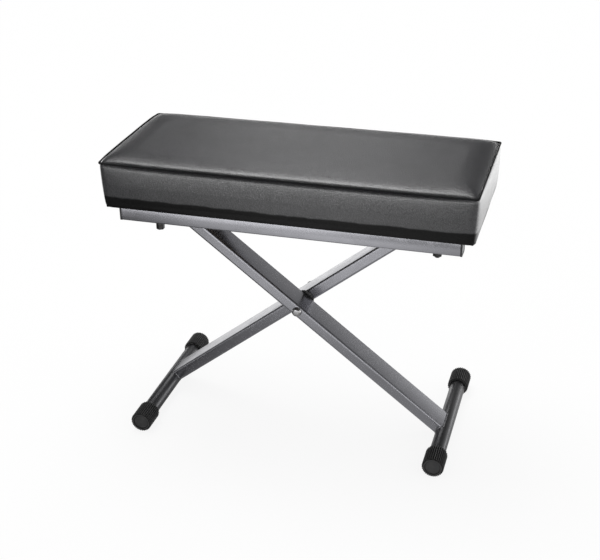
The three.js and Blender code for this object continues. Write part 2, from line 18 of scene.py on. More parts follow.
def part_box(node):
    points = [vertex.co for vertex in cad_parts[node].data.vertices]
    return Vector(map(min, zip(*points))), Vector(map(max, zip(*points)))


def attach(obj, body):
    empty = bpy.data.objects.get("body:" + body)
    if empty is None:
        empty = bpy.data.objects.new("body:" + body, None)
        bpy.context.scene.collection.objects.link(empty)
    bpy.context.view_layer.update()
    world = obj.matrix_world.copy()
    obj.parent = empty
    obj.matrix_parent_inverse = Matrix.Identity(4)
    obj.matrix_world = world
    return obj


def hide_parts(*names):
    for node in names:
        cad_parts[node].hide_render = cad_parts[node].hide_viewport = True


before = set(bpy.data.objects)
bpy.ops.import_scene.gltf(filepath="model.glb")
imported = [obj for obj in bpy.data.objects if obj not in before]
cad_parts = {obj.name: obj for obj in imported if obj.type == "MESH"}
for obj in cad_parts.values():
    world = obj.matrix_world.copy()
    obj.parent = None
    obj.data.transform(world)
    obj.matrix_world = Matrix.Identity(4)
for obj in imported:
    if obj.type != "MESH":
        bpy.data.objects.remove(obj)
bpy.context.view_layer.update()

logging.basicConfig(level=logging.INFO, format="%(message)s", force=True)
log = logging.getLogger("bench")

Socket = bpy.types.NodeSocket
Piece = bpy.types.Object
Test = Callable[[Vector, Vector], bool]
Fade = tuple[float, float, float, float]


class Axis(Enum):
    """The axis that a turned or extruded piece runs along."""

    X = "X"
    Y = "Y"
    Z = "Z"


class Side(Enum):
    """The front and rear sides of the bench, with their sign along Y."""

    FRONT = -1
    REAR = 1

    @property
    def label(self) -> str:
        """The side's name in node names."""
        return self.name.lower()


class End(Enum):
    """The left and right ends of the bench, with their sign along X."""

    LEFT = -1
    RIGHT = 1

    @property
    def label(self) -> str:
        """The end's name in node names."""
        return self.name.lower()


# Places read from the frame


def middle(node: str) -> Vector:
    """Finds the middle of a CAD node's box.

    Args:
        node: the node's name.

    Returns:
        The middle.
    """
    low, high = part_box(node)
    return (low + high) / 2


def size(node: str) -> Vector:
    """Measures a CAD node's box.

    Args:
        node: the node's name.

    Returns:
        Its lengths along X, Y and Z.
    """
    low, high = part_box(node)
    return high - low


# Finishes


class Nodes:
    """A node tree under construction, with the coordinates that its patterns read."""

    def __init__(self, tree: bpy.types.NodeTree, place: str) -> None:
        """Takes up a tree.

        Args:
            tree: the tree.
            place: which coordinates it reads, by their Blender name.
        """
        self.tree = tree
        self.place = self.node("ShaderNodeTexCoord").outputs[place]

    def node(self, kind: str, **values: object) -> bpy.types.Node:
        """Adds a node and sets its inputs or, where it has no such input, its properties.

        Args:
            kind: the node's Blender type.
            values: input or property values, with spaces in names written as underscores.

        Returns:
            The node.
        """
        made = self.tree.nodes.new(kind)
        for name, value in values.items():
            key = name.replace("_", " ")
            if hasattr(value, "is_output"):
                self.tree.links.new(value, made.inputs[key])
            elif key in made.inputs:
                made.inputs[key].default_value = value
            else:
                setattr(made, name, value)
        return made

    def feed(self, socket: Socket, value: Socket | float) -> None:
        """Links a value to a socket, or sets it there.

        Args:
            socket: the input.
            value: what feeds it, or a number.
        """
        if isinstance(value, (int, float)):
            socket.default_value = value
        else:
            self.tree.links.new(value, socket)

    def stretched(self, scale: tuple[float, float, float]) -> Socket:
        """Scales the object coordinates along each axis.

        Args:
            scale: the scale along X, Y and Z.

        Returns:
            The scaled coordinates.
        """
        mapping = self.node("ShaderNodeMapping", Vector=self.place)
        mapping.inputs["Scale"].default_value = scale
        return mapping.outputs[0]

    def noise(
        self, size: float, detail: float = 3, rough: float = 0.5, place: Socket | None = None
    ) -> Socket:
        """Adds soft noise.

        Args:
            size: the size of a patch.
            detail: the number of finer layers.
            rough: the weight of the finer layers.
            place: the coordinates, or None for the object's own.

        Returns:
            The noise, from 0 to 1.
        """
        made = self.node("ShaderNodeTexNoise", Scale=1 / size, Detail=detail, Roughness=rough)
        self.tree.links.new(place or self.place, made.inputs["Vector"])
        return made.outputs[0]

    def cells(self, size: float, feature: str = "DISTANCE_TO_EDGE") -> Socket:
        """Adds a pattern of cells.

        Args:
            size: the size of a cell.
            feature: which distance it gives, by its Blender name.

        Returns:
            The distance.
        """
        made = self.node("ShaderNodeTexVoronoi", feature=feature, Scale=1 / size)
        self.tree.links.new(self.place, made.inputs["Vector"])
        return made.outputs["Distance"]

    def remap(
        self, value: Socket, low: float, high: float, to_low: float = 0, to_high: float = 1
    ) -> Socket:
        """Moves a value smoothly from one range to another, held at its ends.

        Args:
            value: the value.
            low: the low end of its range.
            high: the high end of its range.
            to_low: what the low end becomes.
            to_high: what the high end becomes.

        Returns:
            The value in its new range.
        """
        made = self.node("ShaderNodeMapRange", interpolation_type="SMOOTHSTEP", Value=value)
        ends = {"From Min": low, "From Max": high, "To Min": to_low, "To Max": to_high}
        for name, number in ends.items():
            made.inputs[name].default_value = number
        return made.outputs[0]

    def sum(self, operation: str, first: Socket | float, second: Socket | float = 0.0) -> Socket:
        """Works out one operation on one or two values.

        Args:
            operation: the operation's Blender name.
            first: the first value, or a number.
            second: the second value, or a number.

        Returns:
            The result.
        """
        made = self.node("ShaderNodeMath", operation=operation)
        for socket, value in zip(made.inputs, (first, second)):
            self.feed(socket, value)
        return made.outputs[0]

    def product(self, *values: Socket | float) -> Socket:
        """Multiplies values.

        Args:
            values: two or more values.

        Returns:
            Their product.
        """
        result = values[0]
        for value in values[1:]:
            result = self.sum("MULTIPLY", result, value)
        return result

    def faded(self, value: Socket, *fades: Fade) -> Socket:
        """Multiplies several ramps of one value.

        Args:
            value: the value.
            fades: for each ramp, the ends of its old range and of its new one.

        Returns:
            Their product.
        """
        return self.product(*(self.remap(value, *fade) for fade in fades))

    def total(self, *values: Socket | float) -> Socket:
        """Adds values up.

        Args:
            values: two or more values.

        Returns:
            Their sum.
        """
        result = values[0]
        for value in values[1:]:
            result = self.sum("ADD", result, value)
        return result

    def blend(self, share: Socket, first: tuple | Socket, second: tuple | Socket) -> Socket:
        """Mixes two colours.

        Args:
            share: 0 gives the first colour and 1 the second.
            first: a colour, or what gives it.
            second: a colour, or what gives it.

        Returns:
            The colour between them.
        """
        made = self.node("ShaderNodeMix", data_type="RGBA")
        self.tree.links.new(share, made.inputs[0])
        for socket, colour in ((made.inputs[6], first), (made.inputs[7], second)):
            if isinstance(colour, tuple):
                socket.default_value = (*colour, 1)
            else:
                self.tree.links.new(colour, socket)
        return made.outputs[2]

    def relief(
        self, height: Socket, depth: float, under: Socket | None = None, strength: float = 1
    ) -> Socket:
        """Bumps the surface by a height.

        Args:
            height: the height, from 0 to 1.
            depth: the real depth that 1 stands for.
            under: normals to add to, or None.
            strength: the bump's strength.

        Returns:
            The bumped normals.
        """
        made = self.node("ShaderNodeBump", Height=height, Distance=depth, Strength=strength)
        if under is not None:
            self.tree.links.new(under, made.inputs["Normal"])
        return made.outputs[0]

    def part(self, axis: Axis) -> Socket:
        """Takes one object coordinate.

        Args:
            axis: which coordinate.

        Returns:
            The coordinate.
        """
        return self.node("ShaderNodeSeparateXYZ", Vector=self.place).outputs[axis.value]

    def around(self, size: float, centre: float, below: float, above: float) -> Socket:
        """Adds noise that varies a number about its middle value.

        Args:
            size: the size of a patch.
            centre: the middle value.
            below: how far it falls.
            above: how far it rises.

        Returns:
            The varied number.
        """
        return self.remap(self.noise(size, 3, 0.6), 0.3, 0.7, centre - below, centre + above)


class Shader(Nodes):
    """A material under construction: its surface shader and the nodes that feed it."""

    def __init__(self, name: str) -> None:
        """Starts a material.

        Args:
            name: the material's name.
        """
        self.material = bpy.data.materials.new(name)
        self.material.use_nodes = True
        super().__init__(self.material.node_tree, "Object")
        self.surface = next(n for n in self.tree.nodes if n.type == "BSDF_PRINCIPLED")

    def set(self, **values: object) -> None:
        """Sets sockets of the surface shader, or links what feeds them.

        Args:
            values: socket values or outputs, with spaces in names written as underscores.
        """
        for name, value in values.items():
            key = name.replace("_", " ")
            if hasattr(value, "is_output"):
                self.tree.links.new(value, self.surface.inputs[key])
            else:
                self.surface.inputs[key].default_value = value


@dataclass(frozen=True)
class Finish:
    """A finish: its name, the slot that it fills, its colour and its roughness."""

    name: str
    slot: str
    colour: tuple[float, float, float]
    roughness: float

    def material(self) -> bpy.types.Material:
        """Makes the finish's material on first use.

        Returns:
            The material.
        """
        found = bpy.data.materials.get(self.name)
        if found:
            return found
        shader = Shader(self.name)
        shader.set(Base_Color=(*self.colour, 1), Roughness=self.roughness)
        self.build(shader)
        return shader.material

    def build(self, shader: Shader) -> None:
        """Adds what this finish shows beyond its colour and roughness.

        Args:
            shader: the material under construction.
        """


@dataclass(frozen=True)
class Leatherette(Finish):
    """Pebble-grained black leatherette, smoother where it is pulled under the seat, with painted shade
    darkening that lowest band.
    """

    dark: tuple[float, float, float] = (0.005, 0.005, 0.005)
    shine: float = 1.0
    # The painted shade band along the bottom: its specular level, the heights where it fades in, and
    # how far its edge wanders.
    hem_shine: float = 0.15
    hem_low: float = 0.0
    hem_high: float = 0.0
    hem_wander: float = 0.006
    grain: float = 0.0021
    grain_depth: float = 0.00013
    crease: float = 0.022
    crease_depth: float = 0.0003

    def build(self, shader: Shader) -> None:
        """Adds grain, creases, worn patches and painted shade that darkens the pulled-under band along
        the bottom.

        Args:
            shader: the material under construction.
        """
        cloud = shader.noise(0.09, 4, 0.55)
        worn = tuple(channel * 1.35 for channel in self.colour)
        body = shader.blend(shader.remap(cloud, 0.35, 0.7), self.colour, worn)
        flat = shader.stretched((1, 1, 0.2))
        wave = shader.sum("MULTIPLY", shader.noise(0.03, 2, 0.5, flat), self.hem_wander)
        height = shader.sum("SUBTRACT", shader.part(Axis.Z), wave)
        # Painted shade: below a wavy height near the bottom, the base colour turns to the dark tone,
        # standing in for the shade under the seat.
        hem = shader.remap(height, self.hem_low, self.hem_high, 1, 0)
        pebble = shader.cells(self.grain)
        pores = shader.remap(pebble, 0.0, 0.12, 1, 0)
        tone = shader.blend(shader.sum("MULTIPLY", pores, 0.5), body, self.dark)
        shader.set(Base_Color=shader.blend(hem, tone, self.dark))
        rubbed = shader.noise(0.05, 3, 0.6)
        gloss = shader.remap(rubbed, 0.3, 0.75, self.roughness - 0.02, self.roughness + 0.03)
        speckle = shader.remap(pebble, 0.0, 0.3, 0.74, 1.18)
        # Painted shade: the specular level also falls in the bottom band.
        shine = shader.remap(hem, 0, 1, self.shine, self.hem_shine)
        shader.set(Roughness=gloss, Specular_IOR_Level=shader.sum("MULTIPLY", speckle, shine))
        folds = shader.relief(shader.noise(self.crease, 2, 0.4), self.crease_depth, None, 0.2)
        smooth = shader.remap(hem, 0, 1, 1, 0.2)
        rough = shader.sum("MULTIPLY", shader.remap(pebble, 0.0, 0.28), smooth)
        grains = shader.relief(rough, self.grain_depth, folds, 0.8)
        fine = shader.relief(shader.noise(self.grain / 3, 2, 0.6), 0.00002, grains, 0.3)
        shader.set(Normal=fine)


@dataclass(frozen=True)
class PipedSeam(Finish):
    """Leatherette drawn tight over the piping cord, darker and far less specular than the cover:
    painted shade for the seam's groove.
    """

    def build(self, shader: Shader) -> None:
        """Adds short puckers across the piping, and the darker, barely specular tone that paints the
        groove's shade.

        Args:
            shader: the material under construction.
        """
        pucker = shader.noise(0.004, 2, 0.5)
        shader.set(Normal=shader.relief(pucker, 0.0004, None, 0.5))
        # Painted shade: a tone darker than the cover and a specular level of 0.1 make the piping read
        # as the shaded groove.
        tone = tuple(channel * 1.8 for channel in self.colour)
        body = shader.blend(shader.noise(0.03), self.colour, tone)
        shader.set(Base_Color=body, Specular_IOR_Level=0.1)


@dataclass(frozen=True)
class CoatedSteel(Finish):
    """Metallic powder coat: fine sparkle under a thin clear layer, with a slight orange peel."""

    light: float = 1.2
    shade: float = 0.86
    metal: float = 1.0
    coat: float = 0.15

    def build(self, shader: Shader) -> None:
        """Adds flakes, orange peel, soft clouds and handling marks.

        Args:
            shader: the material under construction.
        """
        pale = tuple(channel * self.light for channel in self.colour)
        deep = tuple(channel * self.shade for channel in self.colour)
        cloud = shader.remap(shader.noise(0.12, 3, 0.5), 0.3, 0.7)
        flake = shader.remap(shader.cells(0.0005, "F1"), 0.1, 0.75)
        tone = shader.blend(shader.sum("MULTIPLY", cloud, 0.5), deep, self.colour)
        tone = shader.blend(shader.sum("MULTIPLY", flake, 0.06), tone, pale)
        smear = shader.noise(0.02, 4, 0.6)
        gloss = shader.remap(smear, 0.35, 0.75, self.roughness - 0.03, self.roughness + 0.05)
        peel = shader.relief(shader.noise(0.0024, 1, 0.3), 0.00002, None, 0.3)
        shader.set(Base_Color=tone, Metallic=self.metal, Roughness=gloss, Normal=peel)
        shader.set(Coat_Weight=self.coat, Coat_Roughness=0.15)


@dataclass(frozen=True)
class WeldBead(CoatedSteel):
    """The same coat over a rippled weld."""

    def build(self, shader: Shader) -> None:
        """Adds the weld's spatter over the coat.

        Args:
            shader: the material under construction.
        """
        super().build(shader)
        lumps = shader.relief(shader.noise(0.0016, 3, 0.6), 0.0003, None, 0.6)
        shader.set(Normal=lumps)


@dataclass(frozen=True)
class Rubber(Finish):
    """Moulded matt rubber for the caps: dusty and rubbed on its ridges, with painted shade in its
    grooves and round its dish.
    """

    dust: tuple[float, float, float] = (0.07, 0.068, 0.066)
    # the tone of the painted shade in the grooves and round the dish
    dirt: tuple[float, float, float] = (0.006, 0.006, 0.006)
    axis_x: float = 0.25
    axis_z: float = 0.0179
    ridge: float = 0.0177
    groove: float = 0.0161
    face_rim: float = 0.0149
    face_edge: float = 0.0155
    dish: float = 0.0123
    line_half: float = 0.0009
    line_core: float = 0.0002

    def radius(self, shader: Shader) -> Socket:
        """Measures how far a point is from the middle line of its foot tube.

        Args:
            shader: the material under construction.

        Returns:
            The distance as a socket.
        """
        aside = shader.sum("SUBTRACT", shader.sum("ABSOLUTE", shader.part(Axis.X)), self.axis_x)
        above = shader.sum("SUBTRACT", shader.part(Axis.Z), self.axis_z)
        wide, tall = (shader.sum("MULTIPLY", way, way) for way in (aside, above))
        return shader.sum("SQRT", shader.sum("ADD", wide, tall))

    def build(self, shader: Shader) -> None:
        """Adds dust, rubbed ridges, painted shade in the grooves and round the dish, and a fine
        moulded grain.

        Args:
            shader: the material under construction.
        """
        patch = shader.remap(shader.noise(0.012, 4, 0.65), 0.45, 0.75)
        tone = shader.blend(shader.sum("MULTIPLY", patch, 0.5), self.colour, self.dust)
        # Painted shade: the grooves between the ribs and a thin ring at the dish's edge are darkened
        # towards the dark tone.
        away = self.radius(shader)
        below = shader.remap(away, self.groove, self.ridge, 1, 0)
        sunk = shader.sum("MULTIPLY", below, shader.remap(away, self.face_rim, self.face_edge))
        inside = shader.remap(away, self.dish - self.line_half, self.dish - self.line_core)
        outside = shader.remap(away, self.dish + self.line_core, self.dish + self.line_half, 1, 0)
        line = shader.sum("MULTIPLY", inside, outside)
        shade = shader.sum("MAXIMUM", sunk, line)
        shader.set(Base_Color=shader.blend(shade, tone, self.dirt))
        gloss = shader.around(0.006, self.roughness, 0.08, 0.08)
        grain = shader.relief(shader.noise(0.0006, 3, 0.6), 0.00005, None, 0.7)
        worn = shader.sum("ADD", gloss, shader.sum("MULTIPLY", shade, 0.3))
        shader.set(Roughness=worn, Specular_IOR_Level=0.4, Normal=grain)


@dataclass(frozen=True)
class Plastic(Finish):
    """Moulded plastic with a fine spark-eroded grain."""

    def build(self, shader: Shader) -> None:
        """Adds the mould's grain and faint flow marks.

        Args:
            shader: the material under construction.
        """
        flow = shader.remap(shader.noise(0.02, 2, 0.4, shader.stretched((1, 1, 3))), 0.3, 0.7)
        pale = tuple(channel * 1.5 for channel in self.colour)
        gloss = shader.around(0.004, self.roughness, 0.05, 0.06)
        grain = shader.relief(shader.noise(0.0004, 2, 0.6), 0.00003, None, 0.6)
        shader.set(Base_Color=shader.blend(flow, self.colour, pale), Roughness=gloss, Normal=grain)


@dataclass(frozen=True)
class ZincPlate(Finish):
    """Plated steel with uneven tarnish and small pits."""

    tarnish: tuple[float, float, float] = (0.30, 0.29, 0.27)

    def build(self, shader: Shader) -> None:
        """Adds tarnish, uneven gloss and pits.

        Args:
            shader: the material under construction.
        """
        stain = shader.remap(shader.noise(0.005, 4, 0.6), 0.4, 0.75)
        tone = shader.blend(shader.sum("MULTIPLY", stain, 0.6), self.colour, self.tarnish)
        gloss = shader.around(0.003, self.roughness, 0.06, 0.1)
        pits = shader.relief(shader.noise(0.0007, 3, 0.6), 0.00004, None, 0.5)
        shader.set(Base_Color=tone, Metallic=1.0, Roughness=gloss, Normal=pits)


@dataclass(frozen=True)
class Plywood(Finish):
    """Plywood: long grain on the face and its plies on the edge."""

    late_wood: tuple[float, float, float] = (0.33, 0.20, 0.10)
    ply: float = 0.0016

    def build(self, shader: Shader) -> None:
        """Adds the grain, the pores and the edge's plies.

        Args:
            shader: the material under construction.
        """
        long_grain = shader.stretched((0.12, 1, 1))
        warp = shader.noise(0.06, 3, 0.5, long_grain)
        rings = shader.node("ShaderNodeTexWave", bands_direction="Y", Scale=16, Distortion=9, Detail=3)
        shader.tree.links.new(long_grain, rings.inputs["Vector"])
        pore = shader.remap(shader.noise(0.0016, 3, 0.7, shader.stretched((0.04, 1, 1))), 0.5, 0.7)
        figure = shader.sum("MULTIPLY", rings.outputs[1], shader.remap(warp, 0.3, 0.8, 0.2, 0.9))
        face = shader.blend(shader.sum("MULTIPLY", figure, 0.55), self.colour, self.late_wood)
        across = 0.32 / self.ply
        plies = shader.node("ShaderNodeTexWave", bands_direction="Z", Scale=across, Distortion=0.4)
        shader.tree.links.new(shader.place, plies.inputs["Vector"])
        face = shader.blend(shader.sum("MULTIPLY", pore, 0.45), face, self.late_wood)
        upright = shader.node("ShaderNodeNewGeometry").outputs["True Normal"]
        facing = shader.node("ShaderNodeSeparateXYZ", Vector=upright).outputs["Z"]
        edge = shader.remap(shader.sum("ABSOLUTE", facing), 0.4, 0.6, 1, 0)
        layers = shader.sum("MULTIPLY", plies.outputs[1], 0.7)
        layered = shader.blend(layers, self.colour, self.late_wood)
        shader.set(Base_Color=shader.blend(edge, face, layered))
        shader.set(Normal=shader.relief(pore, 0.0002, None, 0.5))


# Modelling tools


class Bench:
    """The modelling tools, used on one piece at a time."""

    patterns: dict[str, bpy.types.Mesh] = {}

    @staticmethod
    def repeated(name: str, pattern: str, make: Callable[[str], Piece]) -> Piece:
        """Gives a piece that repeats: modelled the first time, then copied with its own mesh.

        Args:
            name: the piece's name.
            pattern: the name of the shape that repeats.
            make: models the shape about the origin, given the piece's name.

        Returns:
            The piece.
        """
        if pattern not in Bench.patterns:
            piece = make(name)
            Bench.patterns[pattern] = piece.data.copy()
            return piece
        mesh = Bench.patterns[pattern].copy()
        mesh.name = name
        piece = bpy.data.objects.new(name, mesh)
        bpy.context.scene.collection.objects.link(piece)
        return piece

    @staticmethod
    def deselect() -> None:
        """Leaves edit mode and deselects every object."""
        if bpy.context.mode != "OBJECT":
            bpy.ops.object.mode_set(mode="OBJECT")
        bpy.ops.object.select_all(action="DESELECT")

    @staticmethod
    def pick(*pieces: Piece) -> None:
        """Selects only these pieces, the last one active.

        Args:
            pieces: the pieces.
        """
        Bench.deselect()
        for piece in pieces:
            piece.select_set(True)
            bpy.context.view_layer.objects.active = piece

    @staticmethod
    def taken(name: str) -> Piece:
        """Names the piece that a primitive operator has just added.

        Args:
            name: the piece's name.

        Returns:
            The piece.
        """
        piece = bpy.context.object
        piece.name = name
        piece.data.name = name
        return piece

    @staticmethod
    def block(name: str, x: float, y: float, z: float) -> Piece:
        """Adds a block about the origin.

        Args:
            name: the piece's name.
            x: its length along X.
            y: its length along Y.
            z: its length along Z.

        Returns:
            The piece.
        """
        Bench.deselect()
        bpy.ops.mesh.primitive_cube_add(size=1)
        piece = Bench.taken(name)
        piece.data.transform(Matrix.Diagonal((x, y, z, 1)))
        return piece

    @staticmethod
    def barrel(
        name: str, radius: float, length: float, facets: int = 64, open_ends: bool = False
    ) -> Piece:
        """Adds a cylinder about the origin, along Z.

        Args:
            name: the piece's name.
            radius: its radius.
            length: its length.
            facets: its faces round.
            open_ends: whether its ends are left open.

        Returns:
            The piece.
        """
        Bench.deselect()
        fill = "NOTHING" if open_ends else "NGON"
        bpy.ops.mesh.primitive_cylinder_add(
            vertices=facets, radius=radius, depth=length, end_fill_type=fill
        )
        return Bench.taken(name)

    @staticmethod
    def copied(node: str, name: str) -> Piece:
        """Copies a CAD node's mesh into a new piece, with its loose corners joined.

        Args:
            node: the CAD node.
            name: the piece's name.

        Returns:
            The piece.
        """
        Bench.deselect()
        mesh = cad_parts[node].data.copy()
        mesh.name = name
        piece = bpy.data.objects.new(name, mesh)
        bpy.context.scene.collection.objects.link(piece)
        Bench.pick(piece)
        bpy.ops.object.mode_set(mode="EDIT")
        bpy.ops.mesh.select_all(action="SELECT")
        bpy.ops.mesh.remove_doubles(threshold=1e-6)
        bpy.ops.mesh.dissolve_limited(angle_limit=math.radians(1))
        bpy.ops.object.mode_set(mode="OBJECT")
        return piece

    @staticmethod
    def select(piece: Piece, kind: str, test: Test) -> None:
        """Enters edit mode with only the parts selected that pass a test.

        Args:
            piece: the piece.
            kind: VERT, EDGE or FACE.
            test: takes the part's middle and, for an edge its direction, else its normal.
        """
        Bench.pick(piece)
        bpy.ops.object.mode_set(mode="EDIT")
        bpy.ops.mesh.select_mode(type=kind)
        bpy.ops.mesh.select_all(action="DESELECT")
        mesh = bmesh.from_edit_mesh(piece.data)
        if kind == "VERT":
            for vert in mesh.verts:
                vert.select_set(test(vert.co, vert.normal))
        elif kind == "EDGE":
            for edge in mesh.edges:
                first, second = edge.verts[0].co, edge.verts[1].co
                edge.select_set(test((first + second) / 2, (second - first).normalized()))
        else:
            for face in mesh.faces:
                face.select_set(test(face.calc_center_median(), face.normal))
        mesh.select_flush_mode()
        bmesh.update_edit_mesh(piece.data)

    @staticmethod
    def round_edges(piece: Piece, test: Test, radius: float, segments: int = 4) -> None:
        """Rounds the edges that pass a test.

        Args:
            piece: the piece.
            test: takes an edge's middle and direction.
            radius: the rounding's radius.
            segments: its steps.
        """
        Bench.select(piece, "EDGE", test)
        bpy.ops.mesh.bevel(offset=radius, offset_type="OFFSET", segments=segments, affect="EDGES")
        bpy.ops.object.mode_set(mode="OBJECT")

    @staticmethod
    def remove_faces(piece: Piece, test: Test) -> None:
        """Deletes the faces that pass a test.

        Args:
            piece: the piece.
            test: takes a face's middle and normal.
        """
        Bench.select(piece, "FACE", test)
        bpy.ops.mesh.delete(type="FACE")
        bpy.ops.object.mode_set(mode="OBJECT")

    @staticmethod
    def stepped(piece: Piece, up: bool, borders: Sequence[float], rises: Sequence[float]) -> None:
        """Insets a piece's top or bottom face in steps, each followed by a rise along Z.

        Args:
            piece: the piece.
            up: whether the top is worked on, or else the bottom.
            borders: the insets' widths.
            rises: how far the inset face rises after each.
        """
        heights = [vert.co.z for vert in piece.data.vertices]
        level = max(heights) if up else min(heights)
        facing = 1 if up else -1
        Bench.select(piece, "FACE", lambda at, out: abs(at.z - level) < 1e-5 and out.z * facing > 0.9)
        for border, rise in zip(borders, rises):
            bpy.ops.mesh.inset(thickness=border)
            if rise:
                bpy.ops.mesh.extrude_region_move(TRANSFORM_OT_translate={"value": (0, 0, rise)})
        bpy.ops.object.mode_set(mode="OBJECT")

    @staticmethod
    def applied(piece: Piece, kind: str, **values: object) -> None:
        """Adds a modifier to a piece and applies it.

        Args:
            piece: the piece.
            kind: the modifier's Blender type.
            values: its settings.
        """
        Bench.pick(piece)
        modifier = piece.modifiers.new(kind.title(), kind)
        for name, value in values.items():
            setattr(modifier, name, value)
        bpy.ops.object.modifier_apply(modifier=modifier.name)

    @staticmethod
    def walled(piece: Piece, wall: float) -> None:
        """Gives an open shell a wall, inwards.

        Args:
            piece: the piece.
            wall: the wall's thickness.
        """
        Bench.applied(piece, "SOLIDIFY", thickness=wall, offset=-1, use_even_offset=True)

    @staticmethod
    def softened(piece: Piece, width: float, segments: int = 2, angle: float = 35) -> None:
        """Bevels the sharp edges of a piece.

        Args:
            piece: the piece.
            width: the bevel's width.
            segments: its steps.
            angle: the least angle between faces, in degrees.
        """
        Bench.applied(
            piece,
            "BEVEL",
            width=width,
            segments=segments,
            limit_method="ANGLE",
            angle_limit=math.radians(angle),
            harden_normals=False,
        )

    @staticmethod
    def cut(piece: Piece, *tools: Piece) -> None:
        """Cuts tools out of a piece, and removes the tools.

        Args:
            piece: the piece.
            tools: the cutting bodies.
        """
        for tool in tools:
            Bench.applied(piece, "BOOLEAN", object=tool, operation="DIFFERENCE", solver="EXACT")
            bpy.data.objects.remove(tool)

    @staticmethod
    def joined(name: str, pieces: Sequence[Piece]) -> Piece:
        """Joins several pieces into one object.

        Args:
            name: the joined piece's name.
            pieces: the pieces.

        Returns:
            The joined piece.
        """
        Bench.pick(*pieces)
        bpy.ops.object.join()
        return Bench.taken(name)

    @staticmethod
    def placed(piece: Piece, matrix: Matrix) -> Piece:
        """Moves a piece's mesh, and leaves its object at the origin.

        Args:
            piece: the piece.
            matrix: where the mesh goes.

        Returns:
            The piece.
        """
        piece.data.transform(matrix)
        piece.data.update()
        return piece

    @staticmethod
    def along(axis: Axis, place: Vector, reverse: bool = False) -> Matrix:
        """Works out how a piece made along Z is laid along an axis at a place.

        Args:
            axis: the axis.
            place: where the piece's origin goes.
            reverse: whether the piece's top points down the axis.

        Returns:
            The matrix.
        """
        aim = Vector([float(axis is each) for each in Axis])
        turn = (-aim if reverse else aim).to_track_quat("Z", "Y")
        return Matrix.Translation(place) @ turn.to_matrix().to_4x4()

    @staticmethod
    def tube_along(
        name: str, route: Sequence[Vector], widths: Sequence[float], radius: float, steps: int
    ) -> Piece:
        """Lays a closed round tube along a route.

        Args:
            name: the piece's name.
            route: the points of its middle line.
            widths: its thickness at each point, as a share of its radius.
            radius: its radius.
            steps: the steps in a quarter of its section.

        Returns:
            The tube as a mesh.
        """
        curve = bpy.data.curves.new(name, "CURVE")
        curve.dimensions = "3D"
        curve.bevel_depth = radius
        curve.bevel_resolution = steps
        spline = curve.splines.new("POLY")
        spline.points.add(len(route) - 1)
        spline.use_cyclic_u = True
        for point, at, width in zip(spline.points, route, widths):
            point.co = (*at, 1)
            point.radius = width
        piece = bpy.data.objects.new(name, curve)
        bpy.context.scene.collection.objects.link(piece)
        Bench.pick(piece)
        bpy.ops.object.convert(target="MESH")
        piece = Bench.taken(name)
        Bench.smooth(piece, 60)
        return piece

    @staticmethod
    def smooth(piece: Piece, angle: float = 30) -> None:
        """Shades a piece smooth except at edges sharper than an angle.

        Args:
            piece: the piece.
            angle: the angle in degrees.
        """
        Bench.pick(piece)
        bpy.ops.object.shade_smooth_by_angle(angle=math.radians(angle))

    @staticmethod
    def dressed(piece: Piece, finish: Finish, body: str, *nodes: str) -> Piece:
        """Finishes a piece: material, body and replaced nodes.

        Args:
            piece: the piece.
            finish: its finish.
            body: the CAD body that it rides on.
            nodes: the CAD nodes that it stands for.

        Returns:
            The piece.
        """
        piece.data.materials.clear()
        piece.data.materials.append(finish.material())
        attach(piece, body)
        if nodes:
            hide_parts(*nodes)
        log.info("%s: %d faces, on %s", piece.name, len(piece.data.polygons), body)
        return piece


# Finishes of this bench

cover_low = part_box("seat_cushion")[0].z

LEATHERETTE = Leatherette(
    "grained_leatherette",
    "leatherette",
    (0.017, 0.017, 0.0195),
    0.3,
    # the heights of the painted shade band along the bottom of the cover
    hem_low=cover_low + 0.015,
    hem_high=cover_low + 0.020,
)
# Darker and less specular than the cover, as painted shade for the seam's groove; the corner pleats
# wear it too.
PIPING = PipedSeam("piping_leatherette", "leatherette", (0.006, 0.006, 0.0065), 0.5)
FRAME_COAT = CoatedSteel("grey_metallic_coat", "coated_steel", (0.30, 0.30, 0.322), 0.26)
FOOT_COAT = CoatedSteel("dark_metallic_coat", "coated_steel", (0.13, 0.13, 0.135), 0.36)
WELD = WeldBead("coated_weld", "coated_steel", (0.22, 0.22, 0.23), 0.42)
FOOT_RUBBER = Rubber("ribbed_rubber", "black_rubber", (0.036, 0.036, 0.037), 0.5)
BLACK_PLASTIC = Plastic("satin_black_plastic", "black_plastic", (0.014, 0.014, 0.015), 0.42)
ZINC = ZincPlate("dark_zinc", "zinc_steel", (0.36, 0.36, 0.37), 0.3)
BLACK_OXIDE = ZincPlate(
    "black_oxide", "zinc_steel", (0.05, 0.05, 0.05), 0.4, tarnish=(0.09, 0.085, 0.08)
)
BRIGHT_ZINC = ZincPlate("bright_zinc", "zinc_steel", (0.34, 0.34, 0.35), 0.22)
BOARD_WOOD = Plywood(
    "dark_plywood", "plywood", (0.075, 0.055, 0.038), 0.7, late_wood=(0.045, 0.03, 0.018)
)


# The seat


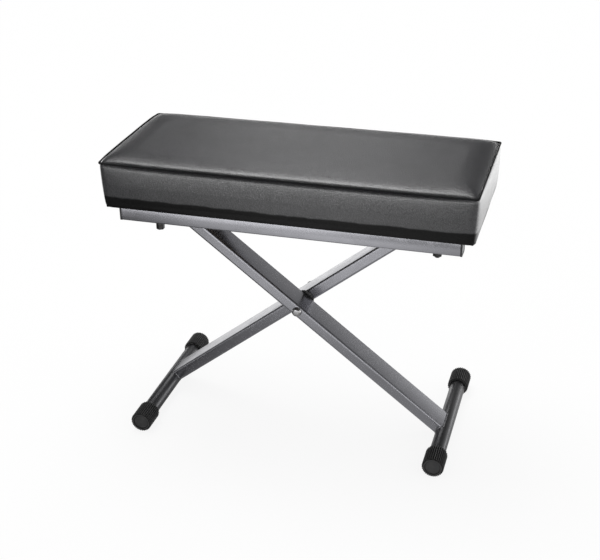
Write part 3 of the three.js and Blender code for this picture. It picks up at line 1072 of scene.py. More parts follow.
@dataclass
class Cover:
    """The stuffed cover with its piped seam, turned hem and staples."""

    seam_drop: float = 0.0053
    start_inset: float = 0.0002
    corner_radius: float = 0.003
    foot_radius: float = 0.011
    edge_radius: float = 0.0036
    band: float = 0.016
    upper_taper: float = 0.0004
    band_taper: float = 0.0008
    rim: float = 0.014
    recess: float = 0.0125
    voxel: float = 0.0044
    swell_cap: float = 0.0024
    held_seam: float = 0.0055
    crown: float = 0.0062
    crown_reach: float = 0.011
    side_roll: float = 0.0042
    end_roll: float = 0.0030
    roll_reach: float = 0.0095
    end_rise: float = 0.0029
    end_push: float = 0.0012
    back_rise: float = 0.0025
    pressure: float = 4.0
    frames: int = 20
    weave_pull: float = 18.0
    weave_bend: float = 0.6
    crown_line: float = 0.003
    foam_reach: float = 0.05
    corner_reach: float = 0.018
    roll_spread: float = 0.007
    roll_end: float = 0.04
    roll_fade: float = 0.03
    wrinkle: float = 0.0008
    undulation: float = 0.0005
    groove_depth: float = 0.0009
    groove_width: float = 0.0027
    piping_radius: float = 0.0014
    piping_inset: float = 0.0009
    piping_points: int = 820
    piping_wander: float = 0.0003
    knob: float = 0.5
    knob_reach: float = 0.006
    hem_edge: float = 0.0185
    hem_reach: float = 0.024
    hem_thickness: float = 0.0002
    hem_wander: float = 0.004
    pleat: tuple[float, float, float] = (0.0075, 0.014, 0.0046)
    pleat_edge: float = 0.0018
    pleat_back: float = 0.0115
    pleat_rise: float = 0.0017
    pleat_folds: tuple[tuple[float, float], ...] = ((0.0075, 12), (0.0135, -9))
    staple_pitch: float = 0.021
    staple_inset: float = 0.011
    staple_reach: float = 0.074
    staple: tuple[float, float, float] = (0.010, 0.0012, 0.0006)
    low: Vector = field(default_factory=lambda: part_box("seat_cushion")[0])
    high: Vector = field(default_factory=lambda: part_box("seat_cushion")[1])

    @property
    def seam(self) -> float:
        """The height of the piped seam."""
        return self.high.z - self.seam_drop

    def outline(self, inset: float, count: int, radius: float) -> list[Vector]:
        """Walks a rounded rectangle, evenly, from the middle of its right side.

        Args:
            inset: how far it stands in from the cover's box.
            count: the number of points.
            radius: its corner radius.

        Returns:
            The points, at height zero.
        """
        x, y = self.high.x - inset, self.high.y - inset
        straight = [2 * (y - radius), 2 * (x - radius)]
        arc = math.pi / 2 * radius
        half = straight[0] / 2
        runs = [half, arc, straight[1], arc, straight[0], arc, straight[1], arc, half]
        return [self.walk(sum(runs) * step / count, runs, x, radius) for step in range(count)]

    def walk(self, left: float, runs: list[float], x: float, radius: float) -> Vector:
        """Finds the point at a distance along the rounded rectangle.

        Args:
            left: the distance.
            runs: the lengths of the straights and arcs in turn.
            x: half the length.
            radius: the corner radius.

        Returns:
            The point.
        """
        place, heading = Vector((x, 0, 0)), math.pi / 2
        for index, run in enumerate(runs):
            part = min(left, run)
            forward = Vector((math.cos(heading), math.sin(heading), 0))
            if index % 2 == 0:
                place = place + forward * part
            else:
                inward = Vector((-forward.y, forward.x, 0))
                turn = part / radius
                bend = forward * math.sin(turn) + inward * (1 - math.cos(turn))
                place = place + bend * radius
                heading += turn
            left -= part
            if left <= 0:
                break
        return place

    def start(self) -> Piece:
        """Models the cover a little under size, before it is stuffed.

        Returns:
            The closed shell, with a recess for the board underneath.
        """
        span = self.high - self.low
        length, depth = span.x - 2 * self.start_inset, span.y - 2 * self.start_inset
        height = self.seam - self.low.z
        shell = Bench.block("seat_cover", length, depth, height)
        Bench.placed(shell, Matrix.Translation((0, 0, self.low.z + height / 2)))
        base, line = self.low.z, self.low.z + self.band
        Bench.round_edges(shell, lambda at, way: abs(way.z) > 0.9, self.foot_radius, 7)
        self.sharpened(shell, length / 2, depth / 2)
        Bench.select(shell, "FACE", lambda at, out: True)
        bpy.ops.mesh.bisect(plane_co=(0, 0, line), plane_no=(0, 0, 1))
        bpy.ops.object.mode_set(mode="OBJECT")
        Bench.round_edges(
            shell, lambda at, way: at.z < base + 1e-4 and abs(way.z) < 0.1, self.edge_radius, 4
        )
        taper = self.upper_taper + self.band_taper
        for level, inset in ((line, self.upper_taper), (base + self.edge_radius, taper)):
            Bench.select(shell, "VERT", lambda at, _, level=level: at.z < level + 1e-4)
            before = inset if level == line else inset - self.upper_taper
            ratio = ((length - 2 * before) / length, (depth - 2 * before) / depth, 1)
            bpy.ops.transform.resize(value=ratio, center_override=(0, 0, level))
            bpy.ops.object.mode_set(mode="OBJECT")
        under = self.rim - self.start_inset - taper - self.edge_radius
        Bench.stepped(shell, False, [under], [self.recess])
        return shell

    def sharpened(self, shell: Piece, x: float, y: float) -> None:
        """Draws the rounded upright corners out to the seam's sharper ones at the top.

        Args:
            shell: the shell, which is changed.
            x: half its length.
            y: half its depth.
        """
        wide, tight = self.foot_radius, self.corner_radius
        for vert in shell.data.vertices:
            at = vert.co
            over = Vector((abs(at.x) - (x - wide), abs(at.y) - (y - wide)))
            if at.z > self.low.z + self.band and min(over) > -1e-6:
                over = over * (tight / wide)
                at.x = math.copysign(x - tight + over.x, at.x)
                at.y = math.copysign(y - tight + over.y, at.y)

    def stuffed(self, shell: Piece) -> None:
        """Swells the shell by cloth pressure, and caps how far it moves.

        Args:
            shell: the shell, which is changed.
        """
        start = [vert.co.copy() for vert in shell.data.vertices]
        held = shell.vertex_groups.new(name="held")
        for index, at in enumerate(start):
            if at.z < self.low.z + self.band or self.edge_distance(at) < self.held_seam:
                held.add([index], 1.0, "REPLACE")
        Bench.pick(shell)
        cloth = shell.modifiers.new("Cloth", "CLOTH")
        settings = cloth.settings
        settings.use_pressure = True
        settings.uniform_pressure_force = self.pressure
        settings.vertex_group_mass = held.name
        settings.quality = 4
        settings.tension_stiffness = settings.compression_stiffness = self.weave_pull
        settings.bending_stiffness = self.weave_bend
        settings.effector_weights.gravity = 0
        cloth.collision_settings.use_collision = False
        scene = bpy.context.scene
        cloth.point_cache.frame_start, cloth.point_cache.frame_end = 1, self.frames
        for step in range(1, self.frames + 1):
            scene.frame_set(step)
        Bench.pick(shell)
        bpy.ops.object.modifier_apply(modifier=cloth.name)
        for vert, old in zip(shell.data.vertices, start):
            move = vert.co - old
            if move.length > self.swell_cap:
                vert.co = old + move * (self.swell_cap / move.length)
        scene.frame_set(1)
        shell.vertex_groups.clear()

    def edge_distance(self, at: Vector) -> float:
        """Measures how far a point is from the seam line, up or down the cover.

        Args:
            at: the point.

        Returns:
            The distance.
        """
        x, y = self.high.x - self.start_inset, self.high.y - self.start_inset
        radius = self.corner_radius
        dx, dy = abs(at.x) - (x - radius), abs(at.y) - (y - radius)
        if dx > 0 and dy > 0:
            inset = radius - math.hypot(dx, dy)
        else:
            inset = radius - max(dx, dy)
        return math.hypot(inset, at.z - self.seam)

    def billow(self, at: Vector) -> Vector:
        """Works out how the foam lifts and pushes the seam, which its corners hold down.

        Args:
            at: a point of the cover's cut shape.

        Returns:
            How far the point moves.
        """
        x, y = max(0.0, self.high.x - abs(at.x)), max(0.0, self.high.y - abs(at.y))
        level = min(1.0, max(0.0, (at.z - self.low.z) / (self.seam - self.low.z)))
        end = math.exp(-((x / self.foam_reach) ** 2)) * (1 - math.exp(-y / self.corner_reach))
        back = math.exp(-((y / self.foam_reach) ** 2)) * (1 - math.exp(-x / self.corner_reach))
        back = back if at.y > 0 else 0.0
        rise = (self.end_rise * end + self.back_rise * back) * level**2
        return Vector((math.copysign(self.end_push * end * level, at.x), 0, rise))

    def rolled(self, at: Vector) -> Vector:
        """Works out how the foam rolls out above and below the seam at a point.

        Args:
            at: a point of the cover's cut shape.

        Returns:
            How far the point moves.
        """
        x, y = max(0.0, self.high.x - abs(at.x)), max(0.0, self.high.y - abs(at.y))
        near, far = min(x, y), max(x, y)
        side = math.exp(-((near / self.roll_spread) ** 2))
        if at.z > self.seam - self.crown_line:
            lift = 1 - math.exp(-x / self.crown_reach)
            return Vector((0, 0, self.crown * lift * (1 - math.exp(-y / self.crown_reach))))
        below = 1 - math.exp(-(self.seam - at.z) / self.roll_reach)
        fade = min(1.0, max(0.0, (at.z - self.low.z - self.band + 0.004) / self.roll_fade))
        full = self.end_roll if x < y else self.side_roll
        out = full * below * fade**0.7 * (1 - math.exp(-far / self.roll_end)) * side
        if x < y:
            return Vector((math.copysign(out, at.x), 0, 0))
        return Vector((0, math.copysign(out, at.y), 0))

    def formed(self, shell: Piece) -> None:
        """Rolls the cover out beside its seam, pulls the groove in and adds soft undulations.

        Args:
            shell: the subdivided shell, which is changed.
        """
        normals = [vert.normal.copy() for vert in shell.data.vertices]
        for vert, normal in zip(shell.data.vertices, normals):
            at = vert.co.copy()
            if at.z < self.low.z + 0.004:
                continue
            depth = math.exp(-((self.edge_distance(at) / self.groove_width) ** 2))
            level = (at.z - self.low.z) / (self.seam - self.low.z)
            slack = math.exp(-(((level - 0.2) / 0.2) ** 2)) if abs(normal.z) < 0.8 else 0.0
            ripple = noise.noise(Vector((at.x / 0.045, at.y / 0.045, at.z / 0.12)))
            broad = noise.noise(Vector((at.x / 0.16 + 7, at.y / 0.11, at.z / 0.2)))
            lift = self.wrinkle * slack * ripple + self.undulation * broad
            out = normal * (lift - self.groove_depth * depth)
            vert.co = at + self.billow(at) + self.rolled(at) + out
            vert.co.z = max(vert.co.z, self.low.z)

    def build(self) -> Piece:
        """Builds the stuffed cover.

        Returns:
            The cover, dressed.
        """
        shell = self.start()
        Bench.applied(shell, "REMESH", mode="VOXEL", voxel_size=self.voxel, use_smooth_shade=True)
        self.stuffed(shell)
        Bench.applied(shell, "SUBSURF", levels=1, render_levels=1)
        self.formed(shell)
        Bench.smooth(shell, 80)
        Bench.dressed(shell, LEATHERETTE, "seat", "seat_cushion")
        return shell

    def piping(self) -> Piece:
        """Runs the piping round the top seam as one closed tube, thicker where it turns.

        Returns:
            The piping, dressed.
        """
        route, widths = [], []
        line = self.outline(self.piping_inset, self.piping_points, self.corner_radius)
        for index, at in enumerate(line):
            wander = noise.noise(Vector((index / 23, 3.1, 0.7))) * self.piping_wander
            place = Vector((at.x, at.y, self.seam + wander))
            corner = math.hypot(self.high.x - abs(at.x), self.high.y - abs(at.y))
            route.append(place + self.billow(place))
            widths.append(1 + self.knob * math.exp(-((corner / self.knob_reach) ** 2)))
        piping = Bench.tube_along("seam_piping", route, widths, self.piping_radius, 3)
        return Bench.dressed(piping, PIPING, "seat")

    def hem(self) -> Piece:
        """Lays the turned-under edge of the cover against the board, with its uneven cut edge.

        Returns:
            The hem, dressed.
        """
        Bench.deselect()
        bpy.ops.mesh.primitive_plane_add(size=1)
        sheet = Bench.taken("turned_hem")
        x, y = self.high.x - self.hem_edge, self.high.y - self.hem_edge
        sheet.data.transform(Matrix.Diagonal((2 * x, 2 * y, 1, 1)))
        Bench.select(sheet, "FACE", lambda at, up: True)
        bpy.ops.mesh.inset(thickness=self.hem_reach)
        bpy.ops.mesh.delete(type="FACE")
        bpy.ops.mesh.select_all(action="SELECT")
        bpy.ops.mesh.subdivide(number_cuts=30)
        bpy.ops.object.mode_set(mode="OBJECT")
        for vert in sheet.data.vertices:
            at = vert.co
            outer = max(abs(at.x) - x, abs(at.y) - y)
            inner = min(1.0, max(0.0, -outer / self.hem_reach))
            shift = noise.noise(Vector((at.x / 0.05, at.y / 0.05, 2.0))) * self.hem_wander * inner
            at.x += shift * math.copysign(1, at.x)
            at.y += shift * math.copysign(1, at.y)
        Bench.applied(sheet, "SOLIDIFY", thickness=self.hem_thickness, offset=0)
        Bench.placed(sheet, Matrix.Translation((0, 0, self.low.z - self.hem_thickness / 2)))
        return Bench.dressed(sheet, LEATHERETTE, "seat")

    def pleat_shape(self, name: str) -> Piece:
        """Models one soft fold, lying along Y.

        Args:
            name: its name.

        Returns:
            The fold.
        """
        fold = Bench.block(name, *self.pleat)
        Bench.softened(fold, self.pleat_edge, 3)
        return fold

    def pleats(self) -> Piece:
        """Folds two small pleats under each lower corner.

        Returns:
            The pleats, joined and dressed.
        """
        made: list[Piece] = []
        for side in Side:
            for end in End:
                for step, (inward, turn) in enumerate(self.pleat_folds):
                    name = f"pleat_{side.label}_{end.label}_{step}"
                    fold = Bench.repeated(name, "pleat", self.pleat_shape)
                    x = end.value * (self.high.x - inward)
                    y = side.value * (self.high.y - self.pleat_back)
                    place = Matrix.Translation((x, y, self.low.z + self.pleat_rise))
                    skew = Matrix.Rotation(math.radians(turn * end.value * side.value), 4, "Z")
                    lean = Matrix.Rotation(math.radians(6 * side.value), 4, "X")
                    Bench.placed(fold, place @ skew @ lean)
                    made.append(fold)
        folds = Bench.joined("corner_pleats", made)
        Bench.smooth(folds, 60)
        return Bench.dressed(folds, PIPING, "seat")

    def staple_shape(self, name: str) -> Piece:
        """Models the crown of one staple, lying along X.

        Args:
            name: its name.

        Returns:
            The crown.
        """
        crown = Bench.block(name, *self.staple)
        Bench.round_edges(crown, lambda at, way: abs(way.z) > 0.9, 0.0004, 2)
        Bench.softened(crown, 0.00015, 1)
        return crown

    def staples(self) -> Piece:
        """Drives a row of staples through the hem at each end.

        Returns:
            The staples, joined and dressed.
        """
        made: list[Piece] = []
        count = int(2 * self.staple_reach / self.staple_pitch) + 1
        for end in End:
            for index in range(count):
                name = f"staple_{end.label}_{index}"
                crown = Bench.repeated(name, "staple", self.staple_shape)
                skew = noise.noise(Vector((index * 1.7, end.value * 3.1, 0)))
                turn = math.radians(90 + 14 * skew)
                y = -self.staple_reach + index * self.staple_pitch
                x = end.value * (self.high.x - self.hem_edge - self.staple_inset)
                place = Vector((x, y, self.low.z - self.hem_thickness - self.staple[2] / 2))
                Bench.placed(crown, Matrix.Translation(place) @ Matrix.Rotation(turn, 4, "Z"))
                made.append(crown)
        row = Bench.joined("hem_staples", made)
        return Bench.dressed(row, BRIGHT_ZINC, "seat")


@dataclass
class Rails:
    """The two square rails with their end plugs and the bolts that hold them to the board."""

    wall: float = 0.0015
    corner: float = 0.003
    crown: float = 0.0009
    plug_corner: float = 0.0026
    hole_radius: float = 0.0043
    stem: float = 0.010
    stem_play: float = 0.0003
    dish_border: float = 0.0028
    dish_depth: float = 0.0004
    chamfer: float = 0.00045
    nut_edge: float = 0.0006

    def rail(self, side: Side) -> Piece:
        """Models one rail as a walled square tube with rounded corners.

        Args:
            side: which side of the seat it lies on.

        Returns:
            The rail, dressed.
        """
        node = f"{side.label}_rail"
        span = size(node)
        tube = Bench.block(f"{side.label}_rail_tube", span.x, span.y, span.z)
        Bench.round_edges(tube, lambda at, way: abs(way.x) > 0.9, self.corner, 6)
        self.crowned(tube, span)
        Bench.remove_faces(tube, lambda at, out: abs(out.x) > 0.9)
        Bench.walled(tube, self.wall)
        Bench.softened(tube, 0.0002, 1, 60)
        Bench.placed(tube, Matrix.Translation(middle(node)))
        for end in End:
            bolt = middle(f"{side.label}_rail_bolt_{end.label}")
            drill = Bench.barrel("drill", self.hole_radius, 3 * span.z, 24)
            place = Vector((bolt.x, bolt.y, middle(node).z))
            Bench.cut(tube, Bench.placed(drill, Matrix.Translation(place)))
        Bench.smooth(tube)
        return Bench.dressed(tube, FRAME_COAT, "seat", node)

    def crowned(self, tube: Piece, span: Vector) -> None:
        """Leaves the rolled tube's faces highest along their middles, as drawn tube has them.

        Args:
            tube: the solid bar, which is changed.
            span: its size.
        """
        half = span.z / 2 - self.corner
        for level in (-0.75, -0.5, -0.25, 0, 0.25, 0.5, 0.75):
            Bench.select(tube, "FACE", lambda at, out: True)
            bpy.ops.mesh.bisect(plane_co=(0, 0, level * half), plane_no=(0, 0, 1))
            bpy.ops.object.mode_set(mode="OBJECT")
        for vert in tube.data.vertices:
            share = min(1.0, abs(vert.co.z) / half)
            vert.co.y *= 1 - 2 * self.crown / span.y * share**2

    @property
    def flange(self) -> float:
        """The thickness of a plug's flange."""
        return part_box("front_rail_plug_right")[1].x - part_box("front_rail")[1].x

    def plug_shape(self, name: str) -> Piece:
        """Models an end plug along Z: a rimmed flange and its stem.

        Args:
            name: the plug's name.

        Returns:
            The plug.
        """
        span = size("front_rail_plug_right")
        body = Bench.block(name, span.y, span.z, self.flange)
        Bench.round_edges(body, lambda at, way: abs(way.z) > 0.9, self.plug_corner, 5)
        Bench.stepped(body, False, [self.wall + self.stem_play], [-self.stem])
        Bench.stepped(body, True, [self.dish_border], [-self.dish_depth])
        Bench.softened(body, self.chamfer, 3)
        return body

    def plug(self, side: Side, end: End) -> Piece:
        """Pushes one end plug into a rail.

        Args:
            side: which rail it closes.
            end: which end of the rail.

        Returns:
            The plug, dressed.
        """
        node = f"{side.label}_rail_plug_{end.label}"
        name = f"{side.label}_end_plug_{end.label}"
        body = Bench.repeated(name, "end_plug", self.plug_shape)
        x = end.value * (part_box(f"{side.label}_rail")[1].x + self.flange / 2)
        place = Vector((x, middle(node).y, middle(node).z))
        Bench.placed(body, Bench.along(Axis.X, place, end is End.LEFT))
        Bench.smooth(body)
        return Bench.dressed(body, BLACK_PLASTIC, "seat", node)

    def bolt(self, side: Side, end: End) -> Piece:
        """Models the nut and bolt end that show under a rail.

        Args:
            side: which rail it holds.
            end: which end of the rail.

        Returns:
            The fastener, dressed.
        """
        node = f"{side.label}_rail_bolt_{end.label}"
        body = Bench.copied(node, f"{side.label}_rail_fastener_{end.label}")
        Bench.softened(body, self.nut_edge, 2, 25)
        Bench.smooth(body)
        return Bench.dressed(body, BLACK_OXIDE, "seat", node)


@dataclass
class Brackets:
    """The hinge ears, the notch plates and the screws that hold them up."""

    edge: float = 0.0005
    slot_width: float = 0.0011
    slot_length: float = 0.0045
    slot_depth: float = 0.0011

    def plate(self, side: Side, kind: str) -> Piece:
        """Finishes one bracket with eased edges.

        Args:
            side: which side of the seat it hangs on.
            kind: hinge or notch.

        Returns:
            The bracket, dressed.
        """
        node = f"{side.label}_{kind}_bracket"
        body = Bench.copied(node, f"{side.label}_{kind}_plate")
        Bench.softened(body, self.edge, 2, 40)
        Bench.smooth(body)
        return Bench.dressed(body, FRAME_COAT, "seat", node)

    def screw(self, side: Side, index: int) -> Piece:
        """Models one pan-head screw with a cross recess.

        Args:
            side: which side of the seat it is on.
            index: its number along the rail.

        Returns:
            The screw, dressed.
        """
        node = f"{side.label}_bracket_screw_{index}"
        low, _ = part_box(node)
        body = Bench.copied(node, f"{side.label}_plate_screw_{index}")
        turn = 0.9 * index + 0.4 * side.value
        for quarter in (0, math.pi / 2):
            slot = Bench.block("slot", self.slot_length, self.slot_width, 2 * self.slot_depth)
            place = Vector((middle(node).x, middle(node).y, low.z))
            Bench.placed(slot, Matrix.Translation(place) @ Matrix.Rotation(turn + quarter, 4, "Z"))
            Bench.cut(body, slot)
        Bench.smooth(body)
        return Bench.dressed(body, ZINC, "seat", node)


# The legs


@dataclass
class Leg:
    """One welded leg: tube, upper cross tube, foot tube, welds and end caps."""

    body: str
    foot: str
    thickness: float = 0.020
    wall: float = 0.0015
    corner: float = 0.004
    hole_radius: float = 0.0043
    bead_radius: float = 0.0013
    ribs: int = 32
    rib_depth: float = 0.0021
    cap_extra: float = 0.012
    disc_radius: float = 0.0123
    disc_depth: float = 0.0013
    disc_lip: float = 0.0008
    cap_edge: float = 0.0012
    cap_end: float = 0.0036
    cap_play: float = 0.0004
    facets_a_rib: int = 6
    cope_play: float = 0.0001
    bead_step: float = 0.0011

    @property
    def top(self) -> Vector:
        """The middle of the upper cross tube."""
        return middle(f"{self.body}_cross_tube")

    @property
    def base(self) -> Vector:
        """The middle of the foot tube."""
        return middle(f"{self.foot}_foot_tube")

    @property
    def offset(self) -> float:
        """The place of the leg tube along Y."""
        return middle(f"{self.body}_tube").y

    def frame(self) -> Matrix:
        """Works out how a tube made along X is laid along the leg.

        Returns:
            The matrix, from the leg's middle.
        """
        down = self.base - self.top
        centre = (self.base + self.top) / 2
        turn = Matrix.Rotation(-math.atan2(down.z, down.x), 4, "Y")
        return Matrix.Translation(Vector((centre.x, self.offset, centre.z))) @ turn

    def tube(self) -> Piece:
        """Models the rectangular leg tube, coped round both cross tubes and drilled for the bolt.

        Returns:
            The tube, dressed.
        """
        length = (self.base - self.top).length
        width = size(f"{self.body}_tube").y
        tube = Bench.block(f"{self.body}_box_tube", length, width, self.thickness)
        Bench.round_edges(tube, lambda at, way: abs(way.x) > 0.9, self.corner, 6)
        Bench.remove_faces(tube, lambda at, out: abs(out.x) > 0.9)
        Bench.walled(tube, self.wall)
        Bench.placed(tube, self.frame())
        for node in (f"{self.body}_cross_tube", f"{self.foot}_foot_tube"):
            radius = size(node).z / 2 + self.cope_play
            Bench.cut(tube, self.cope(middle(node), radius, 2 * width, 72))
        crossing = middle("crossing_bolt")
        Bench.cut(tube, self.cope(crossing, self.hole_radius, 2 * width, 32))
        Bench.softened(tube, 0.0002, 1, 50)
        Bench.smooth(tube)
        return Bench.dressed(tube, FRAME_COAT, self.body, f"{self.body}_tube")

    def cope(self, centre: Vector, radius: float, length: float, facets: int) -> Piece:
        """Makes a cylinder along Y that cuts the leg tube.

        Args:
            centre: a point on its axis.
            radius: its radius.
            length: its length.
            facets: its faces round.

        Returns:
            The cutting body.
        """
        tool = Bench.barrel("cope", radius, length, facets)
        return Bench.placed(tool, Bench.along(Axis.Y, Vector((centre.x, self.offset, centre.z))))

    def pipe(self, node: str, name: str, finish: Finish) -> Piece:
        """Models a round cross tube with a wall and eased ends.

        Args:
            node: the CAD node that it stands for.
            name: the piece's name.
            finish: its finish.

        Returns:
            The tube, dressed.
        """
        span = size(node)
        tube = Bench.barrel(name, span.z / 2, span.y, 96, open_ends=True)
        Bench.walled(tube, self.wall)
        Bench.softened(tube, 0.0003, 2, 60)
        Bench.placed(tube, Bench.along(Axis.Y, middle(node)))
        Bench.smooth(tube)
        return Bench.dressed(tube, finish, self.body, node)

    def bead(self, centre: Vector, radius: float, name: str) -> Piece:
        """Lays a weld bead where the leg tube's end meets a cross tube.

        Args:
            centre: the middle of the cross tube.
            radius: its radius.
            name: the bead's name.

        Returns:
            The bead, dressed.
        """
        width = size(f"{self.body}_tube").y
        inward = (self.base + self.top) / 2 - centre
        inward.y = 0
        inward.normalize()
        across = Vector((-inward.z, 0, inward.x))
        places, widths = [], []
        for index, (along_y, along_t) in enumerate(self.bead_route(width / 2, self.thickness / 2)):
            reach = math.sqrt(max(radius**2 - along_t**2, 0.0))
            at = centre + inward * reach + across * along_t
            places.append(Vector((at.x, self.offset + along_y, at.z)))
            uneven = 0.12 * noise.noise(Vector((index / 3, 1.3, 0)))
            widths.append(0.78 + 0.3 * abs(math.sin(index * 0.9)) + uneven)
        piece = Bench.tube_along(name, places, widths, self.bead_radius, 3)
        return Bench.dressed(piece, WELD, self.body)

    def bead_route(self, half_y: float, half_t: float) -> list[tuple[float, float]]:
        """Walks the outline of the tube's section, in steps of about a millimetre.

        Args:
            half_y: half the section's width.
            half_t: half its thickness.

        Returns:
            Pairs of places across the section.
        """
        radius = self.corner
        corners = [(1, 1), (-1, 1), (-1, -1), (1, -1)]
        route: list[tuple[float, float]] = []
        for quarter, (sy, st) in enumerate(corners):
            centre_y, centre_t = sy * (half_y - radius), st * (half_t - radius)
            for part in range(5):
                angle = (quarter + part / 4) * math.pi / 2
                bend_y, bend_t = radius * math.cos(angle), radius * math.sin(angle)
                route.append((centre_y + bend_y, centre_t + bend_t))
            ny, nt = corners[(quarter + 1) % 4]
            end_angle = (quarter + 1) * math.pi / 2
            end_y = ny * (half_y - radius) + radius * math.cos(end_angle)
            end_t = nt * (half_t - radius) + radius * math.sin(end_angle)
            last_y, last_t = route[-1]
            count = int(math.hypot(end_y - last_y, end_t - last_t) / self.bead_step)
            for part in range(1, count):
                share = part / count
                route.append((last_y + (end_y - last_y) * share, last_t + (end_t - last_t) * share))
        return route

    def valley(self, at: Vector) -> float:
        """Finds how deep in a valley between ribs a point of a cap's side lies.

        Args:
            at: the point, with the cap along Z.

        Returns:
            The depth, from 0 to 1.
        """
        phase = math.atan2(at.y, at.x) * self.ribs / (2 * math.pi)
        return 0.5 - 0.5 * math.cos(2 * math.pi * phase)

    def cap_shape(self, name: str) -> Piece:
        """Models an end cap along Z: ribs along its side, a dished face and an open mouth.

        Args:
            name: the cap's name.

        Returns:
            The cap.
        """
        low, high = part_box(f"{self.foot}_foot_cap_front")
        radius, length = (high.x - low.x) / 2, high.y - low.y + self.cap_extra
        inner = size(f"{self.foot}_foot_tube").z / 2 + self.cap_play
        cap = Bench.barrel(name, radius, length, self.ribs * self.facets_a_rib)
        top = length / 2
        skin = self.rib_depth + self.cap_play
        borders = [skin, radius - skin - self.disc_radius, self.disc_lip]
        Bench.stepped(cap, True, borders, [0, -self.disc_depth, 0])
        Bench.stepped(cap, False, [skin, radius - skin - inner], [0, length - self.cap_end])
        for vert in cap.data.vertices:
            at = vert.co
            reach = math.hypot(at.x, at.y)
            if reach > radius - 0.0002:
                depth = self.rib_depth * self.valley(at) ** 0.7
                ends = self.cap_edge * (1 if at.z > 0 else 0.5)
                scale = (reach - depth) / reach
                vert.co = Vector((at.x * scale, at.y * scale, math.copysign(top - ends, at.z)))
        Bench.softened(cap, 0.0003, 2, 50)
        return cap

    def cap(self, side: Side) -> Piece:
        """Puts one ribbed end cap on the foot tube.

        Args:
            side: which end of the foot tube it covers.

        Returns:
            The cap, dressed.
        """
        node = f"{self.foot}_foot_cap_{side.label}"
        name = f"{self.foot}_ribbed_cap_{side.label}"
        cap = Bench.repeated(name, "ribbed_cap", self.cap_shape)
        turn = Matrix.Rotation(math.pi / self.ribs, 4, "Z")
        place = middle(node) - Vector((0, side.value * self.cap_extra / 2, 0))
        Bench.placed(cap, Bench.along(Axis.Y, place, side is Side.FRONT) @ turn)
        Bench.smooth(cap, 40)
        return Bench.dressed(cap, FOOT_RUBBER, self.body, node)

    def build(self) -> None:
        """Builds the whole leg."""
        self.tube()
        self.pipe(f"{self.body}_cross_tube", f"{self.body}_upper_tube", FRAME_COAT)
        self.pipe(f"{self.foot}_foot_tube", f"{self.foot}_ground_tube", FOOT_COAT)
        self.bead(self.top, size(f"{self.body}_cross_tube").z / 2, f"{self.body}_upper_weld")
        self.bead(self.base, size(f"{self.foot}_foot_tube").z / 2, f"{self.body}_foot_weld")
        for side in Side:
            self.cap(side)


@dataclass
class Pivots:
    """The crossing bolt with its washers and nut, the hinge bolts and the notch pins."""

    facets: int = 64
    edge: float = 0.0003
    bore: float = 0.0043
    shank: float = 0.004
    dome_share: float = 0.72

    def crossing_bolt(self) -> Piece:
        """Models the domed head of the crossing bolt and its shank.

        Returns:
            The bolt, dressed.
        """
        node = "crossing_bolt"
        low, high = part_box(node)
        radius = (high.x - low.x) / 2
        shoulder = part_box("front_leg_tube")[0].y
        height = shoulder - low.y
        head = Bench.barrel("crossing_bolt_head", radius, height, self.facets)
        top = height / 2 - 1e-5
        dome = height * self.dome_share
        Bench.round_edges(head, lambda at, way: at.z > top and abs(way.z) < 0.1, dome, 10)
        Bench.stepped(head, False, [radius - self.shank], [height - (high.y - low.y)])
        place = Vector((middle(node).x, low.y + height / 2, middle(node).z))
        Bench.placed(head, Bench.along(Axis.Y, place, True))
        Bench.smooth(head)
        return Bench.dressed(head, BRIGHT_ZINC, "front_leg", node)

    def ring(self, node: str, name: str, finish: Finish) -> Piece:
        """Models a washer with eased rims.

        Args:
            node: the CAD node that it stands for.
            name: the piece's name.
            finish: its finish.

        Returns:
            The washer, dressed.
        """
        span = size(node)
        disc = Bench.barrel(name, span.x / 2, span.y, self.facets)
        Bench.cut(disc, Bench.barrel("drill", self.bore, 4 * span.y, 32))
        Bench.softened(disc, min(self.edge, span.y / 4), 2, 60)
        Bench.placed(disc, Bench.along(Axis.Y, middle(node)))
        Bench.smooth(disc)
        return Bench.dressed(disc, finish, "front_leg", node)

    def finished_copy(self, node: str, name: str, finish: Finish, body: str) -> Piece:
        """Finishes a turned or hexagonal piece of the frame with eased edges.

        Args:
            node: the CAD node that it stands for.
            name: the piece's name.
            finish: its finish.
            body: the CAD body that it rides on.

        Returns:
            The piece, dressed.
        """
        piece = Bench.copied(node, name)
        Bench.softened(piece, self.edge, 2, 28)
        Bench.smooth(piece, 32)
        return Bench.dressed(piece, finish, body, node)

    def build(self) -> None:
        """Builds every pivot piece."""
        self.crossing_bolt()
        self.ring("crossing_washer", "crossing_spacer", BLACK_PLASTIC)
        self.ring("crossing_rear_washer", "crossing_back_washer", ZINC)
        self.finished_copy("crossing_nut", "crossing_cap_nut", BRIGHT_ZINC, "front_leg")
        for side in Side:
            self.ring(f"hinge_washer_{side.label}", f"hinge_ring_{side.label}", BLACK_PLASTIC)
            bolt, pin = f"hinge_bolt_{side.label}", f"notch_pin_{side.label}"
            self.finished_copy(bolt, f"hinge_hex_{side.label}", ZINC, "front_leg")
            self.finished_copy(pin, f"height_pin_{side.label}", ZINC, "rear_leg")


# The studio


@dataclass(frozen=True)
class Panel:
    """A soft rectangular light: where it hangs, what it faces, its size and its radiance."""

    name: str
    place: tuple[float, float, float]
    aim: tuple[float, float, float]
    wide: float
    tall: float
    radiance: float


